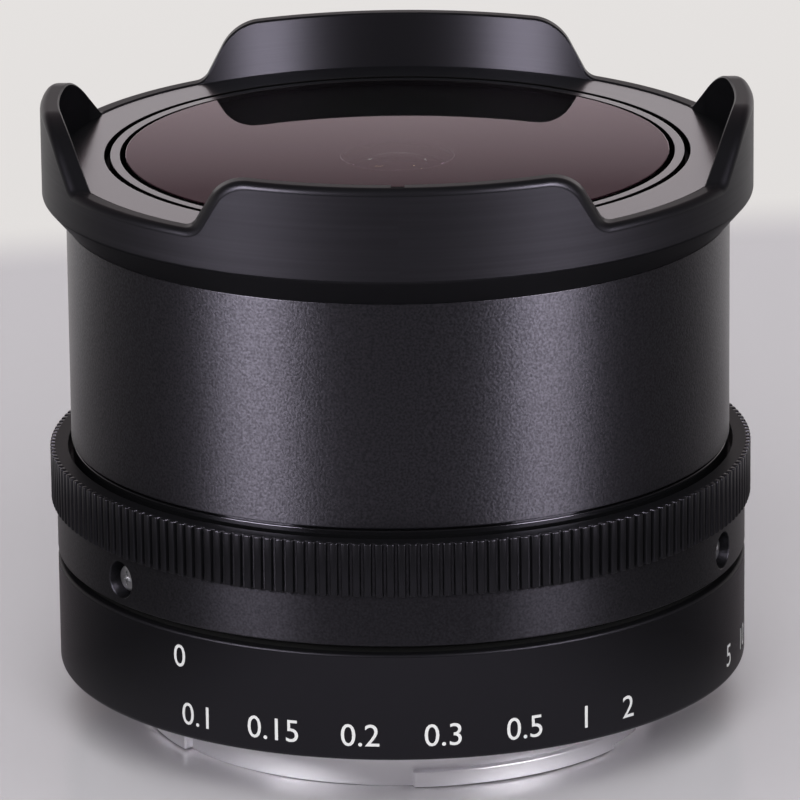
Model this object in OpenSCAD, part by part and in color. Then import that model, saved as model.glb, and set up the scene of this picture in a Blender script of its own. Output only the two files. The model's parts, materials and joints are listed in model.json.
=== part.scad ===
// Fisheye lens with a bayonet mount, a knurled focus ring and a fixed hood of four petals.
// Lengths are in millimetres. The origin lies on the optical axis in the plane of the mount's
// flange, and +Z points to the front glass. Turns are angles about the axis in degrees, counted
// from the -Y side and growing towards +X.

/* [Mount] */
// Diameter of the bayonet's cylinder, which enters the camera's throat
bayonet_d = 43.54; // [42:0.01:46]
// Bore of the bayonet
bayonet_bore_d = 40; // [36:0.1:41.5]
// How far the bayonet reaches behind the flange
bayonet_h = 4.95; // [4:0.05:7]
// How far the lugs stand out of the bayonet's cylinder
lug_rise = 0.78; // [0.5:0.01:1.2]
// How far the lugs lie inside the bayonet's end
lug_inset = 0.1; // [0.05:0.05:0.3]
// Thickness of a lug along the axis
lug_h = 1.4; // [1:0.1:2]
// Angle that a lug covers
lug_angle = 52; // [30:1:58]
// Turns of the lugs' middles
lug_turns = [28, 152, 277]; // [0:1:360]
// Step between the lugs' reach and the flange's seat
seat_step = 0.7; // [0.3:0.05:1.5]
// Depth of the relief inside the seat
seat_relief = 0.2; // [0.1:0.05:0.4]
// Thickness of the flange
flange_h = 1.75; // [1.6:0.05:3]
// How far the flange stands behind the base ring
flange_proud = 0.25; // [0.1:0.05:0.6]
// Width of the base ring's rim around the flange
flange_rim = 1.75; // [1.2:0.05:2.5]

/* [Mount screws and lock hole] */
// Number of mount screws
mount_screw_count = 4; // [3:1:6]
// Turn of the first mount screw
mount_screw_turn = 45; // [0:1:90]
// Distance of the mount screws' circle from the flange's edge
mount_screw_inset = 2.5; // [2.2:0.1:3]
// Thread diameter of a mount screw
mount_screw_d = 2; // [1.4:0.1:2.2]
// Head diameter of a mount screw
mount_screw_head_d = 3.6; // [3:0.1:4]
// Head height of a mount screw
mount_screw_head_h = 0.9; // [0.7:0.05:1.1]
// How deep a mount screw's head lies in the flange
mount_screw_sink = 0.1; // [0.05:0.05:0.3]
// Thread length of a mount screw
mount_screw_l = 3.4; // [2.5:0.1:4.5]
// Diameter of the hole for the camera's lock pin
lock_hole_d = 3; // [2:0.1:3.6]
// Depth of the lock hole
lock_hole_depth = 1.2; // [0.8:0.1:1.5]
// Turn of the lock hole
lock_hole_turn = 90; // [80:1:100]

/* [Rear baffle] */
// How far the baffle's plate lies inside the bayonet's end
baffle_inset = 1.75; // [1:0.05:2.5]
// Thickness of the baffle's plate
baffle_plate_h = 0.8; // [0.5:0.1:1.2]
// Wall of the baffle's cup
baffle_wall = 1; // [0.6:0.1:1.5]
// How far the baffle's lip reaches under the base ring's web
baffle_lip_reach = 0.75; // [0.4:0.05:1]
// Thickness of the baffle's clamped lip
baffle_lip_h = 0.6; // [0.4:0.1:0.8]
// Long side of the baffle's window
window_w = 22; // [18:0.5:24]
// Short side of the baffle's window
window_h = 15; // [12:0.5:18]

/* [Base ring] */
// Diameter of the base ring and of the focus ring's smooth band
base_d = 60; // [58:0.1:66]
// Height of the base ring
base_h = 9.42; // [8.5:0.01:12]
// Bevel of the base ring's edges
base_edge = 0.3; // [0.1:0.05:0.5]
// Thickness of the base ring's web
web_h = 3; // [2.5:0.1:4]
// Height of the dark seam between base ring and focus ring
seam_h = 0.73; // [0.5:0.01:1.2]
// Depth of the seam
seam_depth = 0.8; // [0.4:0.05:1.2]

/* [Focus ring] */
// Height of the smooth band
band_h = 4.5; // [4:0.05:7]
// Height of the knurled grip
knurl_h = 4.65; // [3.5:0.05:8]
// How far the knurl's ribs stand out of the band
knurl_rise = 0.49; // [0.4:0.01:1]
// Depth of the knurl's grooves
knurl_depth = 0.36; // [0.2:0.01:0.4]
// Number of ribs in the knurl
knurl_count = 200; // [120:1:240]
// Width of a rib's flat top
rib_top_w = 0.58; // [0.3:0.01:0.6]
// Width of a groove's floor
groove_floor_w = 0.18; // [0.1:0.01:0.2]
// Bevel of the ring's lower edge
ring_edge = 0.15; // [0.05:0.05:0.3]
// Wall of the smooth band
band_wall = 1.66; // [1.5:0.01:2.2]
// Gap around the barrel's lip, inside the grip
lip_gap = 0.4; // [0.3:0.05:0.6]

/* [Focus ring screws] */
// Number of focus ring screws
focus_screw_count = 3; // [2:1:4]
// Turn of the first focus ring screw
focus_screw_turn = 67; // [0:1:120]
// Height of the screws above the ring's lower edge
focus_screw_up = 2.2; // [2:0.05:2.4]
// Diameter of the recess around a screw's head
focus_screw_recess_d = 3.2; // [2.8:0.05:3.6]
// Head diameter of a focus ring screw
focus_screw_head_d = 2.2; // [1.8:0.05:2.5]
// Head height of a focus ring screw
focus_screw_head_h = 0.55; // [0.4:0.05:0.65]
// Depth of the recess, from the band to the head's seat
focus_screw_sink = 1.25; // [1:0.05:1.3]
// Thread diameter of a focus ring screw
focus_screw_d = 1.4; // [1:0.1:1.6]

/* [Focus drive] */
// Turn of the focus ring from far to near
focus_turn = 105; // [60:1:150]
// Travel of the optical unit from far to near
focus_travel = 1; // [0.5:0.05:1.3]
// Wall of the drive ring
drive_wall = 1.45; // [1.2:0.05:1.8]
// Thickness of the drive ring's inner flange
drive_flange_h = 1.2; // [1:0.05:1.5]
// Wall of the helicoid carrier
carrier_wall = 1.79; // [1.5:0.01:2.2]
// Wall of the guide sleeve
sleeve_wall = 1.4; // [1.2:0.05:1.8]
// Thickness of the guide sleeve's collar
collar_h = 0.9; // [0.6:0.05:1.2]
// Thickness of the guide sleeve's foot
foot_h = 1.5; // [1:0.1:2]
// Number of sleeve screws
sleeve_screw_count = 3; // [2:1:5]
// Thread diameter of a sleeve screw
sleeve_screw_d = 1.6; // [1.2:0.1:2]
// Head diameter of a sleeve screw
sleeve_screw_head_d = 2.8; // [2.4:0.1:3]
// Head height of a sleeve screw
sleeve_screw_head_h = 1; // [0.7:0.1:1.3]
// Width of the guide key
key_w = 3; // [2:0.1:4]
// Height of the guide key
key_h = 3; // [2:0.1:3.2]
// How far the key stands out of the sleeve
key_rise = 1; // [0.6:0.05:1.4]
// How deep the key is let into the sleeve
key_sink = 0.5; // [0.3:0.05:0.7]
// Turn of the guide key
key_turn = 180; // [150:1:210]
// Thread diameter of the key's screw
key_screw_d = 1.2; // [1:0.1:1.4]
// Head diameter of the key's screw
key_screw_head_d = 2.2; // [1.8:0.1:2.6]
// Head height of the key's screw
key_screw_head_h = 0.8; // [0.6:0.1:1]
// Diameter of the stop pin
stop_pin_d = 1.2; // [0.8:0.1:1.4]
// Depth of the stop pin in the base ring
stop_pin_depth = 2.2; // [1.5:0.1:3]
// Turn of the stop pin
stop_pin_turn = 0; // [-30:1:30]

/* [Barrel] */
// How far the barrel is set in from the base ring
barrel_inset = 1.37; // [1:0.01:1.8]
// Height of the barrel
barrel_h = 19.53; // [17:0.01:30]
// Gap between the focus ring's top and the barrel's lower edge
barrel_gap = 0.77; // [0.5:0.01:1.2]
// How far the lip below the barrel is set in
lip_inset = 0.13; // [0.05:0.01:0.3]
// Height of the dark groove between barrel and lip
lip_groove_h = 0.2; // [0.1:0.05:0.3]
// Depth of that groove
lip_groove_depth = 0.3; // [0.2:0.05:0.6]
// Spare length of the lip inside the grip at the near end of the travel
lip_cover = 0.35; // [0.2:0.05:0.6]
// How far the helicoid carrier reaches into the barrel
carrier_reach = 3.7; // [2:0.1:6]
// How far the hood's spigot is set in from the barrel
spigot_inset = 1.6; // [1.2:0.05:2]
// Height of the hood's spigot
spigot_h = 1.75; // [1.2:0.05:2.2]

/* [Hood] */
// How far the hood stands out of the barrel
hood_flare = 2.03; // [1:0.01:3]
// Height of the hood's lower chamfer
hood_chamfer_h = 2.4; // [1.8:0.05:4]
// Height of the hood's rim in the gaps, above the barrel
rim_h = 5.6; // [5:0.05:9]
// Height of the petals above that rim
petal_h = 4.8; // [4:0.05:6]
// Wall of the hood
hood_wall = 1.66; // [1.3:0.01:2]
// Width of the front and rear petals at their foot; they are the wide ones
wide_w = 34.3; // [32:0.1:36]
// Slope of the wide petals' sides
wide_slope = 61; // [55:1:66]
// Shoulder radius of the wide petals
wide_shoulder_r = 3.7; // [2.5:0.1:4.5]
// Width of the left and right petals at their foot; they are the narrow ones
narrow_w = 26.4; // [24:0.1:28]
// Slope of the narrow petals' sides
narrow_slope = 42; // [38:1:48]
// Shoulder radius of the narrow petals
narrow_shoulder_r = 10; // [7:0.1:12]
// Radius at the foot of the petals
foot_r = 1.2; // [0.6:0.1:1.6]
// Bevel of the petals' outer edge
hood_edge = 0.5; // [0.2:0.05:0.7]
// Bevel of the petals' inner edge
hood_inner_edge = 0.15; // [0.1:0.05:0.3]
// Width of the small index notch in the petal at turn 0
index_w = 1.1; // [0.6:0.05:2]
// Depth of the index notch
index_depth = 0.6; // [0.2:0.05:0.8]

/* [Front] */
// Width of the bezel
bezel_w = 3.75; // [3:0.05:4.5]
// Width of the groove between bezel and retaining ring
bezel_groove_w = 0.45; // [0.3:0.01:0.6]
// Width of the retaining ring
retainer_w = 0.9; // [0.7:0.05:1.3]
// Width of the groove between retaining ring and glass
glass_groove_w = 0.4; // [0.3:0.01:0.6]
// How far bezel and retaining ring lie below the hood's rim
bezel_drop = 0.1; // [0:0.05:0.4]
// Height of the front glass above the ledge that the retaining ring holds
glass_step_h = 2.2; // [1.8:0.05:2.6]
// Height of the front glass below that ledge
glass_edge_h = 1.05; // [0.8:0.05:1.6]
// Radius of the front glass's hollow
glass_hollow_r = 8; // [6:0.1:12]
// Diameter of the front glass's hollow at its edge
glass_hollow_d = 9.5; // [8:0.1:11]
// Wall of the front cell
cell_wall = 0.72; // [0.6:0.01:1]
// How far the front cell's top lies below the bezel's
cell_drop = 1.15; // [0.9:0.05:1.6]
// Thickness of the front cell's clamping flange
cell_flange_h = 0.8; // [0.6:0.05:1.2]
// Thickness of the front cell's floor
cell_floor_h = 2.5; // [2:0.1:4]
// Thickness of the front cell's seat, which the glass lies on
cell_seat_h = 1.2; // [0.8:0.1:2]
// How far the seat's opening keeps clear of the glass's hollow
seat_margin = 0.4; // [0.3:0.05:1]

/* [Second and third element] */
// Diameter of the second element
second_d = 28.3; // [27:0.1:28.5]
// Edge thickness of the second element
second_edge_h = 4; // [3.4:0.1:5]
// Radius of the second element's hollow
second_hollow_r = 14; // [13:0.1:20]
// Diameter of the second element's hollow at its edge
second_hollow_d = 16; // [13:0.1:17]
// Width of the element retaining rings and of the spacers
spacer_w = 1.3; // [0.8:0.1:1.6]
// Height of the second element's retaining ring
second_ring_h = 1.1; // [0.8:0.1:1.3]
// Wall of the front cell's neck
neck_wall = 3.2; // [2.5:0.1:4]
// Length of the neck below the cell's floor
neck_l = 6.5; // [5.5:0.1:8]
// Wall of the lens tube around the neck
tube_wall = 1.6; // [1.2:0.1:2]
// Diameter of the third element
third_d = 24; // [22:0.1:26]
// Edge thickness of the third element
third_edge_h = 2.5; // [2:0.1:3]
// Radius of the third element's two faces
third_face_r = 26; // [22:0.5:40]
// Height of the third element's retaining ring
third_ring_h = 1.3; // [1:0.1:1.3]
// Height of the spacer between third element and stop
front_spacer_h = 3; // [2.8:0.1:4]
// Thickness of the aperture stop
stop_h = 0.6; // [0.3:0.1:1]
// Opening of the aperture stop
stop_opening_d = 4.8; // [2:0.1:8]

/* [Rear group] */
// Diameter of the rear elements
rear_d = 20; // [18:0.1:21]
// Wall of the lens tube around the rear elements
rear_wall = 3.5; // [2:0.1:4]
// Gap between the lens tube's end and the baffle's plate
rear_gap = 0.9; // [0.5:0.05:1.5]
// Depth of the rear retaining ring inside the tube's end
rear_ring_depth = 0.5; // [0.2:0.1:1]
// Height of the rear retaining ring
rear_ring_h = 1.8; // [1.2:0.1:2.4]
// Edge thickness of the rear element
rear_edge_h = 3; // [2.4:0.1:3.6]
// Radius of the rear element's front face
rear_face_r = 24; // [20:0.5:40]
// Height of the spacer between rear element and doublet
rear_spacer_h = 3.6; // [3.2:0.1:4.5]
// Edge thickness of the doublet's rear half
flint_edge_h = 4; // [3.6:0.1:4.5]
// Radius of the doublet's rear face
flint_face_r = 30; // [28:0.5:60]
// Radius of the doublet's cemented face
cement_r = 14; // [13:0.1:20]
// Thickness of the cement between the doublet's halves
cement_h = 0.02; // [0.01:0.01:0.05]
// Edge thickness of the doublet's front half
crown_edge_h = 2; // [1.6:0.1:2.6]
// Radius of the doublet's front face
crown_face_r = 20; // [18:0.5:40]

/* [Fits] */
// Radial clearance between pieces that are fixed together
fit = 0.04; // [0.02:0.01:0.06]
// Radial clearance between pieces that run on each other
run = 0.08; // [0.04:0.01:0.1]
// Play along the axis between pieces that turn on each other
end_play = 0.1; // [0.05:0.01:0.2]
// Air between pieces that pass each other
air = 0.4; // [0.3:0.05:0.6]
// Share of a screw head's width and height that its cross slot takes
slot_share = 0.62; // [0.5:0.01:0.7]
// Width of a cross slot
slot_w = 0.36; // [0.2:0.01:0.5]

/* [Hidden] */
$fn = 128;
// Extra length of cutters
eps = 0.5;
// Overlap of a round with the flats beside it
blend = 0.005;

base_r = base_d / 2;
bayonet_r = bayonet_d / 2;
lug_r = bayonet_r + lug_rise;
seat_r = lug_r + seat_step;
flange_r = base_r - flange_rim - fit;
mount_screw_r = flange_r - mount_screw_inset;

// Radii of the focus drive, from the focus ring inwards
focus_bore_r = base_r - band_wall;
drive_r = focus_bore_r - fit;
drive_bore_r = drive_r - drive_wall;
carrier_r = drive_bore_r - run;
carrier_bore_r = carrier_r - carrier_wall;
sleeve_r = carrier_bore_r - run;
sleeve_bore_r = sleeve_r - sleeve_wall;
drive_flange_r = sleeve_r + run;
collar_r = drive_bore_r - air;
base_bore_r = sleeve_r + fit;
stop_pin_r = (drive_flange_r + drive_bore_r) / 2;
sleeve_screw_r = sleeve_bore_r - sleeve_screw_head_d / 2 - fit;
foot_bore_r = sleeve_screw_r - sleeve_screw_head_d / 2 - fit;

// Heights of the base, the focus ring and its drive
base_bottom_z = flange_proud;
base_top_z = base_bottom_z + base_h;
web_top_z = flange_h + web_h;
foot_top_z = web_top_z + foot_h;
ring_bottom_z = base_top_z + seam_h;
knurl_bottom_z = ring_bottom_z + band_h;
ring_top_z = knurl_bottom_z + knurl_h;
drive_flange_top_z = ring_bottom_z + drive_flange_h;
collar_bottom_z = drive_flange_top_z + end_play;
collar_top_z = collar_bottom_z + collar_h;
carrier_bottom_z = collar_top_z + air;
lip_bottom_z = ring_top_z - focus_travel - lip_cover;
drive_top_z = lip_bottom_z - air;
key_bottom_z = carrier_bottom_z + air;
key_top_z = key_bottom_z + key_h;
key_z = (key_bottom_z + key_top_z) / 2;
sleeve_top_z = key_top_z + air;
focus_screw_z = ring_bottom_z + focus_screw_up;
focus_screw_seat_r = base_r - focus_screw_sink;
stop_pin_top_z = drive_flange_top_z - air;

// Radii and heights of the barrel and the hood
barrel_r = base_r - barrel_inset;
lip_r = barrel_r - lip_inset;
grip_bore_r = lip_r + lip_gap;
barrel_bore_r = carrier_r + fit;
barrel_bottom_z = ring_top_z + barrel_gap;
shoulder_z = barrel_bottom_z + carrier_reach;
barrel_top_z = barrel_bottom_z + barrel_h;
spigot_r = barrel_r - spigot_inset;
spigot_top_z = barrel_top_z + spigot_h;
hood_r = barrel_r + hood_flare;
hood_bore_r = hood_r - hood_wall;
rim_z = barrel_top_z + rim_h;
hood_top_z = rim_z + petal_h;

// Knurl
knurl_r = base_r + knurl_rise;
knurl_root_r = knurl_r - knurl_depth;
knurl_pitch = 360 / knurl_count;
rib_half = rib_top_w / knurl_r * 90 / PI;
groove_half = groove_floor_w / knurl_root_r * 90 / PI;

// Front glass, its rings and its cell
bezel_r = hood_bore_r - fit;
bezel_bore_r = bezel_r - bezel_w;
retainer_r = bezel_bore_r - bezel_groove_w;
retainer_bore_r = retainer_r - retainer_w;
glass_r = retainer_bore_r - glass_groove_w;
bezel_top_z = rim_z - bezel_drop;
glass_ledge_z = rim_z - glass_step_h;
glass_back_z = glass_ledge_z - glass_edge_h;
cell_bore_r = retainer_r + fit;
cell_r = cell_bore_r + cell_wall;
cell_top_z = bezel_top_z - cell_drop;
cell_flange_top_z = spigot_top_z + cell_flange_h;
cell_floor_z = glass_back_z - cell_floor_h;
seat_bore_r = glass_hollow_d / 2 + seat_margin;
barrel_top_bore_r = cell_r + fit;

// Second and third element, counted back from the front cell
second_r = second_d / 2;
second_front_z = glass_back_z - cell_seat_h;
second_back_z = second_front_z - second_edge_h;
neck_r = second_r + fit + neck_wall;
neck_bottom_z = cell_floor_z - neck_l;
tube_r = neck_r + fit + tube_wall;
third_r = third_d / 2;
third_ring_top_z = neck_bottom_z - air;
third_front_z = third_ring_top_z - third_ring_h;
third_back_z = third_front_z - third_edge_h;
stop_top_z = third_back_z - front_spacer_h;
front_ledge_z = stop_top_z - stop_h;

// Rear group, counted forward from the lens tube's rear end
rear_r = rear_d / 2;
baffle_back_z = -bayonet_h + baffle_inset;
tube_bottom_z = baffle_back_z + baffle_plate_h + rear_gap;
rear_ring_z = tube_bottom_z + rear_ring_depth;
rear_back_z = rear_ring_z + rear_ring_h;
rear_front_z = rear_back_z + rear_edge_h;
flint_back_z = rear_front_z + rear_spacer_h;
flint_front_z = flint_back_z + flint_edge_h;
rear_ledge_z = flint_front_z + crown_edge_h;
passage_r = rear_r - spacer_w;
tube_step_z = (front_ledge_z + rear_ledge_z) / 2;

baffle_r = bayonet_bore_d / 2 - fit;
baffle_lip_r = max(baffle_r, foot_bore_r) + baffle_lip_reach;
baffle_lip_z = flange_h - baffle_lip_h;

BLACK = [0.07, 0.07, 0.08];
DARK = [0.03, 0.03, 0.035];
SILVER = [0.8, 0.8, 0.81];
STEEL = [0.5, 0.5, 0.52];
BRASS = [0.7, 0.56, 0.28];
GLASS = [0.42, 0.34, 0.37];

// A point on a circle at a turn
function at_turn(r, turn) = [r * sin(turn), -r * cos(turn)];
// Distance from a sphere's middle to the plane where the sphere is w wide
function reach(r, w) = sqrt(r * r - w * w / 4);

// Solid of revolution from an outline of [radius, height] points
module turned(points) {
    rotate_extrude() polygon(points);
}

// Plain ring from height z0 to z1
module ring(inner, outer, z0, z1) {
    turned([[inner, z0], [outer, z0], [outer, z1], [inner, z1]]);
}

// Part of a ring, from one turn to another
module ring_arc(inner, outer, z0, z1, from, to) {
    rotate([0, 0, from - 90])
        rotate_extrude(angle = to - from)
            polygon([[inner, z0], [outer, z0], [outer, z1], [inner, z1]]);
}

// Copies of what is drawn at turn 0, spread evenly round the axis
module around(count, first) {
    for (i = [0 : count - 1])
        rotate([0, 0, first + i * 360 / count])
            children();
}

// Bar along the axis at turn 0, from height z0 to z1
module axial_bar(r, d, z0, z1) {
    translate([0, -r, z0])
        cylinder(d = d, h = z1 - z0);
}

// Bar across the axis at turn 0, from radius r0 out to r1
module radial_bar(d, z, r0, r1) {
    translate([0, -r0, z])
        rotate([90, 0, 0])
            cylinder(d = d, h = r1 - r0);
}

// Block at turn 0, from radius r0 out to r1 and from height z0 to z1
module radial_block(w, r0, r1, z0, z1) {
    translate([-w / 2, -r1, z0])
        cube([w, r1 - r0, z1 - z0]);
}

// Screw with a cross slot, its head's face in the XY plane and its thread along -Z
module cross_screw(head_d, head_h, thread_d, thread_l) {
    slot_l = head_d * slot_share;
    slot_h = head_h * slot_share;
    difference() {
        union() {
            translate([0, 0, -head_h])
                cylinder(d = head_d, h = head_h);
            translate([0, 0, -head_h - thread_l])
                cylinder(d = thread_d, h = thread_l);
        }
        for (turn = [0, 90])
            rotate([0, 0, turn])
                translate([-slot_l / 2, -slot_w / 2, -slot_h])
                    cube([slot_l, slot_w, slot_h + eps]);
    }
}

// Lens cap: the part of a sphere above height z, where it is w wide
module dome(r, w, z) {
    intersection() {
        translate([0, 0, z - reach(r, w)])
            sphere(r = r);
        translate([0, 0, z])
            cylinder(r = w, h = r);
    }
}

// Black outer ring with a web that carries the mount and the guide sleeve
module base_ring() {
    color(BLACK)
        difference() {
            turned([
                [foot_bore_r, flange_h], [flange_r + fit, flange_h], [flange_r + fit, base_bottom_z],
                [base_r - base_edge, base_bottom_z], [base_r, base_bottom_z + base_edge],
                [base_r, base_top_z - base_edge], [base_r - base_edge, base_top_z],
                [base_bore_r, base_top_z], [base_bore_r, web_top_z], [foot_bore_r, web_top_z]
            ]);
            around(mount_screw_count, mount_screw_turn)
                axial_bar(mount_screw_r, mount_screw_d + 2 * fit, flange_h - eps,
                          mount_screw_sink + mount_screw_head_h + mount_screw_l + fit);
            around(sleeve_screw_count, 0)
                axial_bar(sleeve_screw_r, sleeve_screw_d + 2 * fit, flange_h + fit, web_top_z + eps);
            rotate([0, 0, stop_pin_turn])
                axial_bar(stop_pin_r, stop_pin_d + 2 * fit, base_top_z - stop_pin_depth, base_top_z + eps);
        }
}

// Bright flange and three-lug bayonet
module bayonet_mount() {
    color(SILVER)
        difference() {
            union() {
                turned([
                    [bayonet_bore_d / 2, -bayonet_h], [bayonet_r, -bayonet_h], [bayonet_r, seat_relief],
                    [seat_r, seat_relief], [seat_r, 0], [flange_r, 0], [flange_r, flange_h],
                    [baffle_lip_r + fit, flange_h], [baffle_lip_r + fit, baffle_lip_z],
                    [bayonet_bore_d / 2, baffle_lip_z]
                ]);
                for (turn = lug_turns)
                    ring_arc((bayonet_bore_d / 2 + bayonet_r) / 2, lug_r, lug_inset - bayonet_h,
                             lug_inset + lug_h - bayonet_h, turn - lug_angle / 2, turn + lug_angle / 2);
            }
            around(mount_screw_count, mount_screw_turn) {
                axial_bar(mount_screw_r, mount_screw_d + 2 * fit, -eps, flange_h + eps);
                axial_bar(mount_screw_r, mount_screw_head_d + 2 * fit, -eps,
                          mount_screw_sink + mount_screw_head_h);
            }
            rotate([0, 0, lock_hole_turn])
                axial_bar(mount_screw_r, lock_hole_d, -eps, lock_hole_depth);
        }
}

// Screws that hold the bayonet mount on the base ring
module mount_screws() {
    color(STEEL)
        around(mount_screw_count, mount_screw_turn)
            translate([0, -mount_screw_r, mount_screw_sink])
                rotate([180, 0, 0])
                    cross_screw(mount_screw_head_d, mount_screw_head_h, mount_screw_d, mount_screw_l);
}

// Black cup with a window, clamped between the mount and the base ring's web
module rear_baffle() {
    plate_top_z = baffle_back_z + baffle_plate_h;
    color(DARK)
        difference() {
            turned([
                [0, baffle_back_z], [baffle_r, baffle_back_z], [baffle_r, baffle_lip_z],
                [baffle_lip_r, baffle_lip_z], [baffle_lip_r, flange_h],
                [baffle_r - baffle_wall, flange_h], [baffle_r - baffle_wall, plate_top_z], [0, plate_top_z]
            ]);
            translate([-window_w / 2, -window_h / 2, baffle_back_z - eps])
                cube([window_w, window_h, baffle_plate_h + 2 * eps]);
        }
}

// Fixed sleeve: the drive ring turns on it and the carrier slides along it
module guide_sleeve() {
    color(BRASS)
        difference() {
            turned([
                [foot_bore_r, web_top_z], [sleeve_r, web_top_z], [sleeve_r, collar_bottom_z],
                [collar_r, collar_bottom_z], [collar_r, collar_top_z], [sleeve_r, collar_top_z],
                [sleeve_r, sleeve_top_z], [sleeve_bore_r, sleeve_top_z], [sleeve_bore_r, foot_top_z],
                [foot_bore_r, foot_top_z]
            ]);
            around(sleeve_screw_count, 0)
                axial_bar(sleeve_screw_r, sleeve_screw_d + 2 * fit, web_top_z - eps, foot_top_z + eps);
            rotate([0, 0, key_turn]) {
                radial_block(key_w + 2 * fit, sleeve_r - key_sink, sleeve_r + eps,
                             key_bottom_z - fit, key_top_z + fit);
                radial_bar(key_screw_d + 2 * fit, key_z, sleeve_bore_r - eps, sleeve_r);
                radial_bar(key_screw_head_d + 2 * fit, key_z, sleeve_bore_r - eps, key_screw_seat_r());
            }
        }
}

// Radius of the flat that the key screw's head is drawn against, inside the sleeve
function key_screw_seat_r() = sleeve_bore_r + (sleeve_wall - key_sink) / 3;

// Screws that hold the guide sleeve on the web
module sleeve_screws() {
    color(STEEL)
        around(sleeve_screw_count, 0)
            translate([0, -sleeve_screw_r, foot_top_z + sleeve_screw_head_h])
                cross_screw(sleeve_screw_head_d, sleeve_screw_head_h, sleeve_screw_d,
                            foot_top_z - flange_h - 2 * fit);
}

// Key on the guide sleeve that stops the optical unit from turning
module guide_key() {
    color(STEEL)
        rotate([0, 0, key_turn])
            difference() {
                radial_block(key_w, sleeve_r - key_sink, sleeve_r + key_rise, key_bottom_z, key_top_z);
                radial_bar(key_screw_d + 2 * fit, key_z, sleeve_bore_r, sleeve_r + key_rise + eps);
            }
}

// Screw that holds the key, put in from inside the sleeve
module guide_key_screw() {
    color(STEEL)
        rotate([0, 0, key_turn])
            translate([0, key_screw_head_h - key_screw_seat_r(), key_z])
                rotate([-90, 0, 0])
                    cross_screw(key_screw_head_d, key_screw_head_h, key_screw_d,
                                sleeve_r + key_rise - key_screw_seat_r() - fit);
}

// Pin that ends the focus ring's turn
module stop_pin() {
    color(STEEL)
        rotate([0, 0, stop_pin_turn])
            axial_bar(stop_pin_r, stop_pin_d, base_top_z - stop_pin_depth, stop_pin_top_z);
}

// Washer in the seam that the focus ring slips on
module slip_washer() {
    color(DARK)
        difference() {
            ring(base_bore_r, base_r - seam_depth, base_top_z, ring_bottom_z - end_play);
            rotate([0, 0, stop_pin_turn])
                axial_bar(stop_pin_r, stop_pin_d + 2 * fit, base_top_z - eps, ring_bottom_z + eps);
        }
}

// Star-shaped outline of the knurl, two points for each rib and two for each groove
function knurl_outline() = [
    for (i = [0 : knurl_count - 1])
        for (corner = [
            [knurl_r, -rib_half], [knurl_r, rib_half],
            [knurl_root_r, knurl_pitch / 2 - groove_half], [knurl_root_r, knurl_pitch / 2 + groove_half]
        ])
            at_turn(corner[0], i * knurl_pitch + corner[1])
];

// Focus ring with its smooth band, knurled grip and screw recesses
module focus_ring() {
    color(BLACK)
        difference() {
            union() {
                turned([
                    [focus_bore_r, ring_bottom_z], [base_r - ring_edge, ring_bottom_z],
                    [base_r, ring_bottom_z + ring_edge], [base_r, ring_top_z], [grip_bore_r, ring_top_z],
                    [grip_bore_r, drive_top_z], [focus_bore_r, drive_top_z]
                ]);
                difference() {
                    translate([0, 0, knurl_bottom_z])
                        linear_extrude(knurl_h)
                            polygon(knurl_outline());
                    translate([0, 0, knurl_bottom_z - eps])
                        cylinder(r = (base_r + grip_bore_r) / 2, h = knurl_h + 2 * eps);
                }
            }
            around(focus_screw_count, focus_screw_turn) {
                radial_bar(focus_screw_recess_d, focus_screw_z, focus_screw_seat_r, base_r + eps);
                radial_bar(focus_screw_d + 2 * fit, focus_screw_z, focus_bore_r - eps, base_r);
            }
        }
}

// Ring inside the focus ring that carries the helicoid
module drive_ring() {
    stop_margin = (stop_pin_d / 2 + air) / stop_pin_r * 180 / PI;
    color(BRASS)
        difference() {
            turned([
                [drive_flange_r, ring_bottom_z], [drive_r, ring_bottom_z], [drive_r, drive_top_z],
                [drive_bore_r, drive_top_z], [drive_bore_r, drive_flange_top_z],
                [drive_flange_r, drive_flange_top_z]
            ]);
            ring_arc(drive_flange_r - eps, drive_bore_r, ring_bottom_z - eps, drive_flange_top_z + eps,
                     stop_pin_turn - focus_turn - stop_margin, stop_pin_turn + stop_margin);
            around(focus_screw_count, focus_screw_turn)
                radial_bar(focus_screw_d + 2 * fit, focus_screw_z, drive_flange_r, drive_r + eps);
        }
}

// Recessed screws that hold the focus ring on the drive ring
module focus_ring_screws() {
    color(STEEL)
        around(focus_screw_count, focus_screw_turn)
            translate([0, -focus_screw_seat_r - focus_screw_head_h, focus_screw_z])
                rotate([90, 0, 0])
                    cross_screw(focus_screw_head_d, focus_screw_head_h, focus_screw_d,
                                focus_screw_seat_r - drive_bore_r - air);
}

// Satin black barrel with a thin lip that runs inside the grip
module outer_barrel() {
    groove_z = barrel_bottom_z - lip_groove_h;
    color(BLACK)
        turned([
            [barrel_bore_r, lip_bottom_z], [lip_r, lip_bottom_z], [lip_r, groove_z],
            [lip_r - lip_groove_depth, groove_z], [lip_r - lip_groove_depth, barrel_bottom_z],
            [barrel_r, barrel_bottom_z], [barrel_r, barrel_top_z], [spigot_r, barrel_top_z],
            [spigot_r, spigot_top_z], [barrel_top_bore_r, spigot_top_z], [barrel_top_bore_r, shoulder_z],
            [barrel_bore_r, shoulder_z]
        ]);
}

// Threaded tube in the barrel's foot, slotted for the key
module helicoid_carrier() {
    color(BRASS)
        difference() {
            ring(carrier_bore_r, carrier_r, carrier_bottom_z, shoulder_z);
            rotate([0, 0, key_turn])
                radial_block(key_w + 2 * run, carrier_bore_r - eps, carrier_r + eps,
                             carrier_bottom_z - eps, key_top_z + air);
        }
}

// Height where a petal's shoulder begins
function shoulder_z(slope, shoulder_r) = hood_top_z - shoulder_r * (1 - cos(slope));

// Distance from a petal's middle to where its shoulder begins
function shoulder_x(w, slope, shoulder_r) = w / 2 - (shoulder_z(slope, shoulder_r) - rim_z) / tan(slope);

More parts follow.
